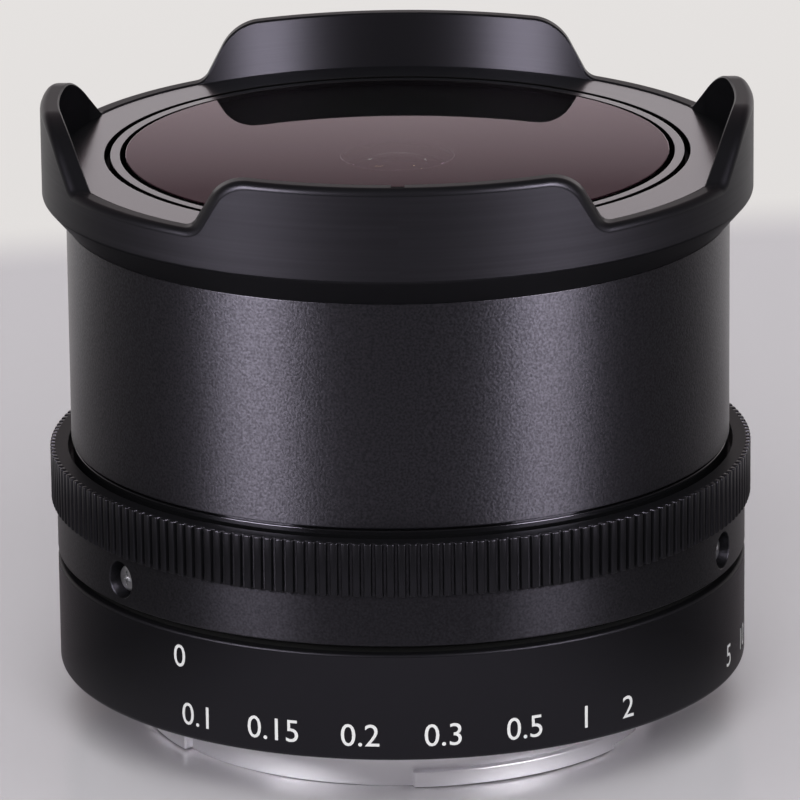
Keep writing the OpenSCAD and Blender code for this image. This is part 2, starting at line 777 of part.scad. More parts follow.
// Distance from a petal's middle to the end of its flat top
function top_x(w, slope, shoulder_r) = shoulder_x(w, slope, shoulder_r) - shoulder_r * sin(slope);

// Length that the round at a petal's foot takes from the slope and from the rim
function foot_reach(slope) = foot_r * tan(slope / 2);

// Right side of a petal's outline, from its foot over slope and shoulder
function petal_side(w, slope, shoulder_r) = [
    [w / 2 + foot_reach(slope), rim_z - eps],
    [w / 2 + foot_reach(slope), rim_z],
    [w / 2 - foot_reach(slope) * cos(slope), rim_z + foot_reach(slope) * sin(slope)],
    [shoulder_x(w, slope, shoulder_r), shoulder_z(slope, shoulder_r)],
    [top_x(w, slope, shoulder_r), hood_top_z],
    [top_x(w, slope, shoulder_r), hood_top_z + 2 * eps]
];

// Points of an outline's side, mirrored and taken from the last to the first
function mirrored(points) = [for (i = [len(points) - 1 : -1 : 0]) [-points[i][0], points[i][1]]];

// Bar with the outline of two opposite petals, across the whole hood at turn 0
module petal_bar(w, slope, shoulder_r) {
    rotate([90, 0, 0])
        linear_extrude(2 * (hood_r + eps), center = true)
            difference() {
                union() {
                    polygon(concat(petal_side(w, slope, shoulder_r),
                                   mirrored(petal_side(w, slope, shoulder_r))));
                    for (sign = [-1, 1])
                        translate([sign * top_x(w, slope, shoulder_r), hood_top_z - shoulder_r])
                            circle(r = shoulder_r + blend);
                }
                for (sign = [-1, 1])
                    translate([sign * (w / 2 + foot_reach(slope)), rim_z + foot_r])
                        circle(r = foot_r + blend);
            }
}

// Fixed hood with two wide and two narrow petals
module petal_hood() {
    color(BLACK)
        difference() {
            turned([
                [spigot_r + fit, barrel_top_z], [barrel_r, barrel_top_z],
                [hood_r, barrel_top_z + hood_chamfer_h], [hood_r, hood_top_z - hood_edge],
                [hood_r - hood_edge, hood_top_z], [hood_bore_r + hood_inner_edge, hood_top_z],
                [hood_bore_r, hood_top_z - hood_inner_edge], [hood_bore_r, spigot_top_z],
                [spigot_r + fit, spigot_top_z]
            ]);
            difference() {
                translate([0, 0, rim_z])
                    cylinder(r = hood_r + eps, h = petal_h + eps);
                petal_bar(wide_w, wide_slope, wide_shoulder_r);
                rotate([0, 0, 90])
                    petal_bar(narrow_w, narrow_slope, narrow_shoulder_r);
            }
            radial_block(index_w, glass_r, hood_bore_r + hood_inner_edge + index_depth,
                         hood_top_z - index_depth, hood_top_z + eps);
        }
}

// Satin ring around the front glass
module front_bezel() {
    color(BLACK)
        turned([
            [cell_r + fit, cell_flange_top_z], [bezel_r, cell_flange_top_z], [bezel_r, bezel_top_z],
            [bezel_bore_r, bezel_top_z], [bezel_bore_r, cell_top_z + end_play],
            [cell_r + fit, cell_top_z + end_play]
        ]);
}

// Narrow ring that holds the front glass down on its ledge
module front_retaining_ring() {
    color(BLACK)
        ring(retainer_bore_r, retainer_r, glass_ledge_z, bezel_top_z);
}

// Front glass: a flat disc with a small hollow inside and a ledge for the retaining ring
module front_element() {
    color(GLASS)
        difference() {
            turned([
                [0, glass_back_z], [retainer_r, glass_back_z], [retainer_r, glass_ledge_z],
                [glass_r, glass_ledge_z], [glass_r, rim_z], [0, rim_z]
            ]);
            translate([0, 0, glass_back_z - reach(glass_hollow_r, glass_hollow_d)])
                sphere(r = glass_hollow_r);
        }
}

// Cup with a dark seat for the front glass, and behind it a neck for the second element
module front_cell() {
    color(DARK)
        turned([
            [second_r + fit, neck_bottom_z], [neck_r, neck_bottom_z], [neck_r, cell_floor_z],
            [cell_r, cell_floor_z], [cell_r, spigot_top_z], [bezel_r, spigot_top_z],
            [bezel_r, cell_flange_top_z], [cell_r, cell_flange_top_z], [cell_r, cell_top_z],
            [cell_bore_r, cell_top_z], [cell_bore_r, glass_back_z], [seat_bore_r, glass_back_z],
            [seat_bore_r, second_front_z], [second_r + fit, second_front_z]
        ]);
}

// Second element, flat at its front and hollow at its back
module second_element() {
    color(GLASS)
        difference() {
            ring(0, second_r, second_back_z, second_front_z);
            translate([0, 0, second_back_z - reach(second_hollow_r, second_hollow_d)])
                sphere(r = second_hollow_r);
        }
}

// Ring that holds the second element in the neck, from behind
module second_retaining_ring() {
    color(DARK)
        ring(second_r - spacer_w, second_r, second_back_z - second_ring_h, second_back_z);
}

// Rear tube for all the other elements
module lens_tube() {
    socket_z = neck_bottom_z - end_play;
    color(DARK)
        turned([
            [rear_r + fit, tube_bottom_z], [rear_r + rear_wall, tube_bottom_z],
            [rear_r + rear_wall, tube_step_z], [tube_r, tube_step_z], [tube_r, cell_floor_z],
            [neck_r + fit, cell_floor_z], [neck_r + fit, socket_z], [third_r + fit, socket_z],
            [third_r + fit, front_ledge_z], [passage_r, front_ledge_z], [passage_r, rear_ledge_z],
            [rear_r + fit, rear_ledge_z]
        ]);
}

// Third element, domed on both sides
module third_element() {
    dome_d = third_d - 2 * spacer_w - 2 * air;
    color(GLASS)
        union() {
            ring(0, third_r, third_back_z, third_front_z);
            dome(third_face_r, dome_d, third_front_z);
            translate([0, 0, third_back_z])
                mirror([0, 0, 1])
                    dome(third_face_r, dome_d, 0);
        }
}

// Ring that holds the third element in the lens tube
module third_retaining_ring() {
    color(DARK)
        ring(third_r - spacer_w, third_r, third_front_z, third_ring_top_z);
}

// Spacer between the third element and the aperture stop
module spacer_ring() {
    color(DARK)
        ring(third_r - spacer_w, third_r, stop_top_z, third_back_z);
}

// Plate with the fixed aperture
module aperture_stop() {
    color(DARK)
        ring(stop_opening_d / 2, third_r, front_ledge_z, stop_top_z);
}

// Width of the doublet's cemented face
function cement_d() = rear_d - 2 * air;

// Front half of the cemented doublet
module doublet_crown() {
    color(GLASS)
        union() {
            ring(0, rear_r, flint_front_z, rear_ledge_z);
            dome(crown_face_r, rear_d - 2 * spacer_w - 2 * air, rear_ledge_z);
            translate([0, 0, flint_front_z])
                mirror([0, 0, 1])
                    dome(cement_r, cement_d(), 0);
        }
}

// Rear half of the cemented doublet, hollow at its front
module doublet_flint() {
    color(GLASS)
        difference() {
            union() {
                ring(0, rear_r, flint_back_z, flint_front_z);
                translate([0, 0, flint_back_z])
                    mirror([0, 0, 1])
                        dome(flint_face_r, rear_d - 2 * spacer_w - 2 * air, 0);
            }
            translate([0, 0, flint_front_z + reach(cement_r, cement_d())])
                sphere(r = cement_r + cement_h);
        }
}

// Spacer between the rear element and the doublet
module rear_spacer() {
    color(DARK)
        ring(rear_r - spacer_w, rear_r, rear_front_z, flint_back_z);
}

// Rear element, flat at its back
module rear_element() {
    color(GLASS)
        union() {
            ring(0, rear_r, rear_back_z, rear_front_z);
            dome(rear_face_r, rear_d - 2 * spacer_w - 2 * air, rear_front_z);
        }
}

// Ring that holds the rear elements in the lens tube
module rear_retaining_ring() {
    color(DARK)
        ring(rear_r - spacer_w, rear_r, rear_ring_z, rear_back_z);
}

base_ring();
bayonet_mount();
mount_screws();
rear_baffle();
guide_sleeve();
sleeve_screws();
guide_key();
guide_key_screw();
stop_pin();
slip_washer();
focus_ring();
drive_ring();
focus_ring_screws();
outer_barrel();
helicoid_carrier();
petal_hood();
front_bezel();
front_retaining_ring();
front_element();
front_cell();
second_element();
second_retaining_ring();
lens_tube();
third_element();
third_retaining_ring();
spacer_ring();
aperture_stop();
doublet_crown();
doublet_flint();
rear_spacer();
rear_element();
rear_retaining_ring();
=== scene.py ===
# %% [markdown]
# # A fisheye lens on a light table
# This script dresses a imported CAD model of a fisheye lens. The CAD pieces are exact but have bare edges and
# plain colours. Here the pieces that show get smooth meshes with small rounded edges and procedural
# finishes, and the hidden ones keep their CAD meshes.

import json
from math import asin, atan2, copysign, cos, degrees, pi, radians, sin, sqrt, tan, tau

import bmesh
import bpy
from mathutils import Matrix, Vector


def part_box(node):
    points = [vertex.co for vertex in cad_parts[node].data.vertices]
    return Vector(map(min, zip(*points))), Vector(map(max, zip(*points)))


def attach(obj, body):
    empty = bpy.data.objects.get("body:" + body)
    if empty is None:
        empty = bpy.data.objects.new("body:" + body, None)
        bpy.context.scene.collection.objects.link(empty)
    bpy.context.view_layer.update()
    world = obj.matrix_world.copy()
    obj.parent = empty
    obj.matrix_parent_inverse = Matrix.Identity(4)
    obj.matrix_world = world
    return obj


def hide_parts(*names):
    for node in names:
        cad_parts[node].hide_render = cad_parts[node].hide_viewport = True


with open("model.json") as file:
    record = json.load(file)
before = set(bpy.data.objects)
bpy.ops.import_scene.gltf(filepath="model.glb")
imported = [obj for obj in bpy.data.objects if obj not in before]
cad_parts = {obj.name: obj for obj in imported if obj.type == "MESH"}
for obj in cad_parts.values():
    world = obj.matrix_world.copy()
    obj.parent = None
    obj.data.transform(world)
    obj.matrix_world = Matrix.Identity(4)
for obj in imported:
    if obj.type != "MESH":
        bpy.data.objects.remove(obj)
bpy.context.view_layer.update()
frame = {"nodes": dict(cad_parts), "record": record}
MM = 0.001

# %% [markdown]
# ## Sizes
# Most pieces are turned about the lens's axis, so radii and heights are nearly all it takes. The outer ones
# are read from the CAD boxes, so that the looks follow the CAD model. The inner ones are named where they
# are needed. Turns are counted in degrees from the front, which is -Y, towards +X.


# %% Outer sizes
def span(node):
    """Outer radius, lowest and highest height of a CAD node, in millimetres."""
    low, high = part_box(node)
    return high.x / MM, low.z / MM, high.z / MM


BASE_R, BASE_Z0, BASE_Z1 = span("base_ring")
KNURL_R, RING_Z0, RING_Z1 = span("focus_ring")
BARREL_R, LIP_Z0, SPIGOT_Z1 = span("outer_barrel")
HOOD_R, HOOD_Z0, HOOD_Z1 = span("petal_hood")
BEZEL_R, BEZEL_Z0, BEZEL_Z1 = span("front_bezel")
RETAINER_R, LEDGE_Z, RETAINER_Z1 = span("front_retaining_ring")
GLASS_BACK_R, GLASS_Z0, GLASS_Z1 = span("front_element")
FLANGE_R, MOUNT_Z0, FLANGE_Z1 = span("bayonet_mount")
FIT = 0.04
print("base ring", round(BASE_R, 2), "hood", round(HOOD_R, 2), "barrel", round(BARREL_R, 2))

# %% [markdown]
# ## A lathe for outlines
# A turned piece is an outline of radius and height, swept round the axis. Blender has a Screw modifier for
# that, but its normals come from the faces, and a large flat beside a tiny fillet then shades unevenly. Here
# each corner of the outline is an arc whose points know their true normals.

# %% Rounded outlines
SMALL = 0.03
STEPS = 4
CORNER = STEPS + 1


def rounded(outline, steps=STEPS):
    """(point, normal) along an outline of (radius, height, fillet), with the material on its left."""
    line = []
    count = len(outline)
    for i, (r, z, fillet) in enumerate(outline):
        corner = Vector((r, z))
        before = (corner - Vector(outline[i - 1][:2])).normalized()
        after = (Vector(outline[(i + 1) % count][:2]) - corner).normalized()
        bend = before.x * after.y - before.y * after.x
        turn = atan2(bend, before.dot(after))
        size = fillet or SMALL
        first = Vector((before.y, -before.x))
        centre = corner - before * size * tan(abs(turn) / 2) - first * copysign(size, turn)
        for k in range(steps + 1):
            normal = first.copy()
            normal.rotate(Matrix.Rotation(turn * k / steps, 2))
            line.append((centre + normal * copysign(size, turn), normal))
    return line


def on_turn(r, turn, z):
    """The point at radius r, a turn in degrees and height z."""
    a = radians(turn)
    return (r * sin(a), -r * cos(a), z)


def at_turn(line, turn):
    """A line of (point, normal) in radius and height, set at a turn."""
    return [(on_turn(p.x, turn, p.y), on_turn(n.x, turn, n.y)) for p, n in line]


def turned_rows(outline, turns):
    """Rows of (point, normal) for an outline at the given turns."""
    line = rounded(outline)
    return [at_turn(line, t) for t in turns]


print("each corner is an arc of", CORNER, "points")

# %% [markdown]
# A shell gathers vertices, normals and faces in millimetres, and turns them into one object in metres. Its
# grid method lays a sheet of four-sided faces over rows of points, which is what a lathe, a lug and the hood
# need.

# %% Shell and lathe
ROUND = [i * 360 / 288 for i in range(288)]


def show(name, data):
    made = bpy.data.objects.new(name, data)
    bpy.context.scene.collection.objects.link(made)
    return made


class Shell:
    """Vertices with their own normals, and faces, in millimetres."""

    def __init__(self):
        self.points, self.normals, self.faces = [], [], []

    def grid(self, rows, closed_rows=True, closed_columns=True, skip=None):
        """Rows of (point, normal), one for each station. Faces look to the right of a row's direction."""
        start, width, height = len(self.points), len(rows[0]), len(rows)
        for row in rows:
            self.points += [p for p, n in row]
            self.normals += [n for p, n in row]
        for j in range(height if closed_rows else height - 1):
            for i in range(width if closed_columns else width - 1):
                if skip and skip(i, j):
                    continue
                i2, j2 = (i + 1) % width, (j + 1) % height
                corners = ((j, i), (j2, i), (j2, i2), (j, i2))
                self.faces.append(tuple(start + a * width + b for a, b in corners))

    def fan(self, ring, middle, normal):
        """A flat or slightly domed cap inside a ring of (point, normal)."""
        start = len(self.points)
        self.points += [p for p, n in ring] + [middle]
        self.normals += [n for p, n in ring] + [normal]
        end = start + len(ring)
        self.faces += [(start + i, start + (i + 1) % len(ring), end) for i in range(len(ring))]

    def make(self, name):
        """The shell as an object in metres."""
        mesh = bpy.data.meshes.new(name)
        mesh.from_pydata([Vector(p) * MM for p in self.points], [], self.faces)
        mesh.shade_smooth()
        mesh.normals_split_custom_set_from_vertices([Vector(n).normalized() for n in self.normals])
        print(name, len(mesh.polygons), "faces")
        return show(name, mesh)


def lathe(name, outline):
    shell = Shell()
    shell.grid(turned_rows(outline, ROUND))
    return shell.make(name)


# %% [markdown]
# Some sheets have round holes, for screws and a lock pin. A boolean would cut them, but it leaves long thin
# faces that shade badly. Instead the sheet is left open in a window, which is filled with rings of faces
# that lead from its edge over a small fillet down to the hole's floor.

# %% Pockets
# Half the turn that a window takes, in degrees
WINDOW = 5
# Fillet at a pocket's mouth, and its steps: lean in degrees, what is left of the fillet, and depth
MOUTH = 0.08
MOUTH_STEPS = ((30, 0.04, 0.01), (60, 0.01, 0.04), (90, 0, MOUTH))


def pocket(shell, edge, radius, depth, place):
    """Fills a window, whose edge runs counter-clockwise; place maps (u, v, depth) to a point and normal."""
    angles = [atan2(v, u) for u, v in edge]
    mouth = [((radius + MOUTH) * cos(a), (radius + MOUTH) * sin(a)) for a in angles]
    rows = []
    for share in (0, 0.3, 0.6, 0.85, 1):
        ways = zip(edge, mouth)
        rows.append([place(u + (x - u) * share, v + (y - v) * share, 0) for (u, v), (x, y) in ways])
    for lean, left, drop in (*MOUTH_STEPS, (90, 0, depth)):
        s, c = sin(radians(lean)), cos(radians(lean))
        middle = Vector(place(0, 0, drop)[0])
        row = []
        for a in angles:
            spot = place((radius + left) * cos(a), (radius + left) * sin(a), drop)
            point, normal = map(Vector, spot)
            inward = middle - point
            inward = (inward - normal * inward.dot(normal)).normalized()
            row.append((tuple(point), tuple(inward * s + normal * c)))
        rows.append(row)
    shell.grid([row[::-1] for row in rows], closed_rows=False)
    middle, out = place(0, 0, depth)
    shell.fan([(point, out) for point, normal in rows[-1]], middle, out)


# %% [markdown]
# ## Copies round the axis
# The knurl has two hundred ribs, and the screws come in threes and fours. Modelling each one would be slow,
# so one Geometry Nodes tree makes them all: it lays points on the axis and sets a copy of one piece, which
# is built at turn 0, on each of them, turned a step further. Realize Instances makes the copies a plain
# mesh.

# %% Node tree for copies
copies = bpy.data.node_groups.new("copies_round_the_axis", "GeometryNodeTree")
sockets = {}
for label, kind in (("Piece", "Object"), ("Count", "Int"), ("First turn", "Float"), ("Finish", "Material")):
    socket = copies.interface.new_socket(label, in_out="INPUT", socket_type=f"NodeSocket{kind}")
    sockets[label] = socket.identifier
copies.interface.new_socket("Geometry", in_out="OUTPUT", socket_type="NodeSocketGeometry")


def add(tree, kind, *sources, **settings):
    """A new node with its settings; sources are sockets or values for its first inputs."""
    node = tree.nodes.new(kind)
    for key, value in settings.items():
        setattr(node, key, value)
    for source, target in zip(sources, node.inputs):
        if isinstance(source, bpy.types.NodeSocket):
            tree.links.new(source, target)
        else:
            target.default_value = source
    return node


KINDS = {
    "given": "NodeGroupInput", "piece": "GeometryNodeObjectInfo", "line": "GeometryNodeMeshLine",
    "index": "GeometryNodeInputIndex", "step": "ShaderNodeMath", "turn": "ShaderNodeMath",
    "rotation": "ShaderNodeCombineXYZ", "place": "GeometryNodeInstanceOnPoints", "result": "NodeGroupOutput",
    "realize": "GeometryNodeRealizeInstances", "finish": "GeometryNodeSetMaterial",
}
nodes = {name: add(copies, kind) for name, kind in KINDS.items()}
nodes["line"].inputs["Offset"].default_value = (0, 0, 0)
nodes["step"].operation, nodes["turn"].operation = "DIVIDE", "MULTIPLY_ADD"
nodes["step"].inputs[0].default_value = tau
for source, output, target, entry in (
    ("given", "Piece", "piece", "Object"), ("given", "Count", "line", "Count"), ("given", "Count", "step", 1),
    ("index", 0, "turn", 0), ("step", 0, "turn", 1), ("given", "First turn", "turn", 2),
    ("turn", 0, "rotation", "Z"), ("line", "Mesh", "place", "Points"), ("rotation", 0, "place", "Rotation"),
    ("piece", "Geometry", "place", "Instance"), ("place", 0, "realize", 0),
    ("realize", 0, "finish", "Geometry"), ("given", "Finish", "finish", "Material"),
    ("finish", 0, "result", 0),
):
    copies.links.new(nodes[source].outputs[output], nodes[target].inputs[entry])
print("copies tree with", len(nodes), "nodes")

# %% [markdown]
# The tree is a modifier on an empty mesh, with its inputs set by the sockets' identifiers. The result is
# taken from the evaluated object, and then the modifier goes.


# %% Spreading copies
def evaluated_mesh(holder):
    """The mesh that an object has after its modifiers."""
    bpy.context.view_layer.update()
    return bpy.data.meshes.new_from_object(holder.evaluated_get(bpy.context.evaluated_depsgraph_get()))


def spread(name, one, count, first, material):
    """Copies of one piece round the axis as a plain mesh; the piece is removed."""
    holder = show(name, bpy.data.meshes.new(name))
    modifier = holder.modifiers.new("copies", "NODES")
    modifier.node_group = copies
    values = {"Piece": one, "Count": count, "First turn": radians(first), "Finish": material}
    for label, value in values.items():
        modifier[sockets[label]] = value
    mesh = evaluated_mesh(holder)
    holder.modifiers.clear()
    holder.data = mesh
    bpy.data.objects.remove(one)
    print(name, count, "copies,", len(mesh.polygons), "faces")
    return holder


# %% [markdown]
# ## Finishes
# All finishes are procedural. A few short functions set up a material and the nodes that come up often.


# %% Tools for finishes
def shader_of(material):
    """The Principled shader of a material."""
    return material.node_tree.nodes["Principled BSDF"]


def finish_of(name, colour, roughness, metallic=0.0, specular=0.5, tint=(1, 1, 1), **more):
    """A new material; further values go to the sockets of the same names."""
    material = bpy.data.materials.new(name)
    material.use_nodes = True
    values = {"Base Color": (*colour, 1), "Roughness": roughness, "Metallic": metallic}
    values.update({"Specular IOR Level": specular, "Specular Tint": (*tint, 1)})
    values.update({key.replace("_", " "): value for key, value in more.items()})
    for key, value in values.items():
        shader_of(material).inputs[key].default_value = value
    return material


def ramp(tree, source, start, end, first=0, last=1, kind="SMOOTHSTEP"):
    """A Map Range node: the source's range from start to end becomes first to last."""
    values = (source, start, end, first, last)
    return add(tree, "ShaderNodeMapRange", *values, interpolation_type=kind).outputs["Result"]


def combine(tree, operation, a, b):
    """A Math node over two sockets or numbers."""
    return add(tree, "ShaderNodeMath", a, b, operation=operation).outputs[0]


# %% [markdown]
# Textures use Object coordinates, which are metres on the lens. A fine noise as bump gives a sand-blasted
# grain, and noise that is stretched round the axis gives lathe marks. Some grain also changes the gloss a
# little, as on blasted metal.

# %% Grain and lathe marks
# How far a turn of one radian moves on in the noise, in metres
TURN_SHARE = 0.0004


def object_vector(material):
    return add(material.node_tree, "ShaderNodeTexCoord").outputs["Object"]


def turning_vector(material):
    """Radius, height and a little of the turn, so that noise over it runs round the axis."""
    tree, where = material.node_tree, object_vector(material)
    parts = add(tree, "ShaderNodeSeparateXYZ", where).outputs
    flat = add(tree, "ShaderNodeVectorMath", where, (1, 1, 0), operation="MULTIPLY").outputs[0]
    radius = add(tree, "ShaderNodeVectorMath", flat, operation="LENGTH").outputs["Value"]
    little = combine(tree, "MULTIPLY", combine(tree, "ARCTAN2", parts["X"], parts["Y"]), TURN_SHARE)
    return add(tree, "ShaderNodeCombineXYZ", radius, parts["Z"], little).outputs[0]


def roughen(material, vector, scale, depth, detail=2.0, shine=None):
    """Noise over a vector as bump, and as a range of specular level if one is given."""
    tree, shader = material.node_tree, shader_of(material)
    noise = add(tree, "ShaderNodeTexNoise", vector(material))
    noise.inputs["Scale"].default_value = scale
    noise.inputs["Detail"].default_value = detail
    bump = add(tree, "ShaderNodeBump")
    bump.inputs["Distance"].default_value = depth
    tree.links.new(noise.outputs["Fac"], bump.inputs["Height"])
    tree.links.new(bump.outputs["Normal"], shader.inputs["Normal"])
    if shine:
        level = ramp(tree, noise.outputs["Fac"], 0.3, 0.7, *shine, kind="LINEAR")
        tree.links.new(level, shader.inputs["Specular IOR Level"])


def turned_sheen(material, amount):
    """Stretches the sheen across the lathe marks, which run round the axis."""
    tree, shader = material.node_tree, shader_of(material)
    shader.inputs["Anisotropic"].default_value = amount
    shader.inputs["Anisotropic Rotation"].default_value = 0.25
    tangent = add(tree, "ShaderNodeTangent", direction_type="RADIAL", axis="Z")
    tree.links.new(tangent.outputs[0], shader.inputs["Tangent"])


# %% [markdown]
# Black anodised metal is a dark colour under a weak, violet sheen. The pieces differ in how rough that sheen
# is and in how far turning has stretched it. Inside the hood the paint is dullest where it is seen at a
# slant, so Layer Weight takes its gloss away there.

# %% Black finishes
BLACK, BLUE_BLACK = (0.004, 0.004, 0.0045), (0.004, 0.004, 0.0046)
VIOLET = (0.88, 0.83, 1.0)
MICRON = 0.000001
INSIDE_GLOSS = 0.09


def black_metal(name, colour, roughness, specular, stretch=0.0):
    """A black with a violet sheen, which may be stretched across the lathe marks."""
    material = finish_of(name, colour, roughness, specular=specular, tint=VIOLET)
    if stretch:
        turned_sheen(material, stretch)
    return material


black_anodised = black_metal("black_anodised", BLACK, 0.12, 0.3)
roughen(black_anodised, object_vector, 6000, 3 * MICRON)
blasted_black = black_metal("blasted_black", BLUE_BLACK, 0.4, 0.42, stretch=0.85)
roughen(blasted_black, object_vector, 5000, 15 * MICRON, detail=1.0, shine=(0.29, 0.59))
band_black = black_metal("band_black", BLACK, 0.3, 0.28, stretch=0.85)
roughen(band_black, object_vector, 5000, 6 * MICRON, detail=1.0, shine=(0.2, 0.38))
knurl_black = black_metal("knurl_black", BLACK, 0.3, 0.2)
roughen(knurl_black, object_vector, 6000, 3 * MICRON)
turned_black = black_metal("turned_black", BLUE_BLACK, 0.48, 0.2, stretch=0.45)
roughen(turned_black, turning_vector, 3500, 3 * MICRON, detail=1.0, shine=(0.18, 0.22))
# A duller copy of the black: painted shade in the base ring's seam, on the focus ring's top face and on the
# hood's chamfer
painted_shade_black = black_metal("painted_shade_black", BLUE_BLACK, 0.4, 0.1)
petal_gloss = black_metal("petal_gloss", BLUE_BLACK, 0.34, 0.14)
hood_inside = black_metal("hood_inside", BLUE_BLACK, 0.32, INSIDE_GLOSS, stretch=0.2)
roughen(hood_inside, turning_vector, 3000, 10 * MICRON, detail=1.0)
slant = add(hood_inside.node_tree, "ShaderNodeLayerWeight").outputs["Facing"]
dull = ramp(hood_inside.node_tree, slant, 0.35, 0.55, INSIDE_GLOSS, 0, kind="LINEAR")
hood_inside.node_tree.links.new(dull, shader_of(hood_inside).inputs["Specular IOR Level"])
# Dead black lacquer: real on the glass's sides and the index notch, painted shade on the rings' walls
lacquer_and_shade = finish_of("black_lacquer_and_shade", (0.002, 0.002, 0.002), 0.7, specular=0.0)
print(len(bpy.data.materials), "materials")

# %% [markdown]
# The rings round the glass are satin metal and the mount is bright metal, both with lathe marks. The front
# glass has a coating that takes green out of what it mirrors, so its tint is magenta. The other finishes are
# for screws, print and what lies inside.

# %% Metal, glass and paint
BRIGHT = (0.92, 0.91, 0.94)


def clear_glass(name, roughness, tint, **more):
    """Clear glass with a tint in what it mirrors."""
    return finish_of(name, (1, 1, 1), roughness, tint=tint, Transmission_Weight=1.0, **more)


satin_bezel = finish_of("satin_bezel", (0.48, 0.495, 0.515), 0.22, metallic=1.0)
roughen(satin_bezel, turning_vector, 5000, 1 * MICRON)
bright_metal = finish_of("bright_metal", BRIGHT, 0.42, metallic=1.0)
roughen(bright_metal, turning_vector, 6000, 3 * MICRON)
turned_sheen(bright_metal, 0.5)
bright_ends = finish_of("bright_ends", BRIGHT, 0.42, metallic=1.0)
steel = finish_of("steel", (0.5, 0.5, 0.51), 0.3, metallic=1.0)
brass = finish_of("brass", (0.72, 0.55, 0.27), 0.3, metallic=1.0)
black_plastic = finish_of("black_plastic", (0.006, 0.006, 0.006), 0.6, specular=0.05)
blackened_metal = finish_of("blackened_metal", BLACK, 0.5, specular=0.2)
coated_glass = clear_glass("coated_glass", 0.0, (1, 0.1, 0.45), IOR=1.7)
hollow_glass = clear_glass("hollow_glass", 0.0, (0, 0, 0), IOR=1.7)
edge_glass = clear_glass("edge_glass", 0.05, (1, 0.45, 0.9), IOR=1.7)
glass = clear_glass("glass", 0.0, (1, 1, 1), IOR=1.6, Thin_Film_Thickness=120, Thin_Film_IOR=1.38)
white_paint = finish_of("white_paint", (0.7, 0.7, 0.7), 0.5)
print(len(bpy.data.materials), "materials")

# %% [markdown]
# Single faces of a piece can have finishes of their own. A dressed piece is also hung on an empty for the
# body it rides on, and the CAD nodes that it stands for are hidden.

# %% Painting and dressing
# Slack for comparing places on a mesh
NEAR = 0.01


def paint(piece, finishes, pick):
    """Gives a piece several finishes, and each face the one that pick names."""
    for material in finishes:
        piece.data.materials.append(material)
    for face in piece.data.polygons:
        face.material_index = finishes.index(pick(face))


def paint_part(piece, main, other, test):
    """Gives a piece its main finish, and another on the faces that pass a test."""
    paint(piece, (main, other), lambda face: other if test(face) else main)


def dress(piece, body, material, slot, *nodes):
    """Gives a piece its finish and body, and hides the CAD nodes that it stands for. The slot is not used."""
    if not piece.data.materials:
        piece.data.materials.append(material)
    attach(piece, body)
    if nodes:
        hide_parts(*nodes)


# %% [markdown]
# ## Base ring
# The base ring is a plain turned ring with a web inside that carries the mount. Only its outer wall shows,
# with two softly rounded edges. The upper one lies in the seam and gets a duller black, painted shade for the
# seam.

# %% Base ring
WEB_Z0, WEB_Z1, WEB_BORE, BASE_BORE = 1.75, 4.75, 20.62, 24.94
BASE_EDGE, BASE_TOP_EDGE = 0.35, 0.25
base_ring = lathe("base_ring_body", [
    (WEB_BORE, WEB_Z0, 0), (FLANGE_R + FIT, WEB_Z0, 0), (FLANGE_R + FIT, BASE_Z0, 0.1),
    (BASE_R, BASE_Z0, BASE_EDGE), (BASE_R, BASE_Z1, BASE_TOP_EDGE), (BASE_BORE, BASE_Z1, 0),
    (BASE_BORE, WEB_Z1, 0), (WEB_BORE, WEB_Z1, 0),
])
# The edge in the seam gets the duller black, painted shade
shaded_z = BASE_Z1 - BASE_TOP_EDGE
paint_part(base_ring, black_anodised, painted_shade_black, lambda face: face.center.z / MM > shaded_z)
dress(base_ring, "base", black_anodised, "black_anodised", "base_ring")

# %% [markdown]
# White figures, a plain row of distances, are printed on the ring. They could be painted with a texture, but
# a mesh stays sharp at any distance. Each figure is a text object that is made a mesh, and then every vertex
# is wrapped round the ring.

# %% Printed figures
PRINT_R, FIGURE_H = BASE_R + 0.015, 1.95
# Height of a row's foot, and its figures with their turns
FIGURES = {
    1.55: (("0.1", -35.5), ("0.15", -21.5), ("0.2", -7), ("0.3", 6.5), ("0.5", 20), ("1", 31), ("2", 39.5)),
    6.6: (("0", -39),),
    1.6: (("5", 70), ("10", 80)),
}


def figure(text, turn, z):
    """Points and faces of a text on the base ring."""
    curve = bpy.data.curves.new("figure", "FONT")
    curve.body, curve.align_x, curve.resolution_u = text, "CENTER", 4
    holder = show("figure", curve)
    mesh = evaluated_mesh(holder)
    scale = FIGURE_H / max(v.co.y for v in mesh.vertices)
    points = []
    for v in mesh.vertices:
        points.append(on_turn(PRINT_R, turn + degrees(v.co.x * scale / PRINT_R), z + v.co.y * scale))
    faces = [tuple(f.vertices) for f in mesh.polygons]
    bpy.data.objects.remove(holder)
    bpy.data.curves.remove(curve)
    bpy.data.meshes.remove(mesh)
    return points, faces


points, faces = [], []
for z, figures in FIGURES.items():
    for text, turn in figures:
        more_points, more_faces = figure(text, turn, z)
        faces += [tuple(len(points) + i for i in f) for f in more_faces]
        points += more_points
mesh = bpy.data.meshes.new("scale_figures")
mesh.from_pydata([Vector(p) * MM for p in points], [], faces)
dress(show("scale_figures", mesh), "base", white_paint, "black_anodised")
print(len(FIGURES), "rows of figures,", len(faces), "faces")

# %% [markdown]
# ## Focus ring
# The focus ring has a smooth band with three recessed screws and a knurled grip. The band's sheet of faces
# is left open in three windows for the recesses.

# %% Focus ring
BAND_R, BAND_Z1, ROOT_R = BASE_R, 14.9, KNURL_R - 0.36
FOCUS_BORE_R, GRIP_BORE_R, GRIP_FLOOR_Z = 28.34, 28.9, 17.8
RING_EDGE, RING_TOP_EDGE = 0.15, 0.1
SCREW_TURNS, SCREW_Z, RECESS_R, RECESS_FLOOR = (67, 187, 307), 12.6, 1.6, 28.75
WINDOW_STEPS, WALL_STEPS = 12, 84
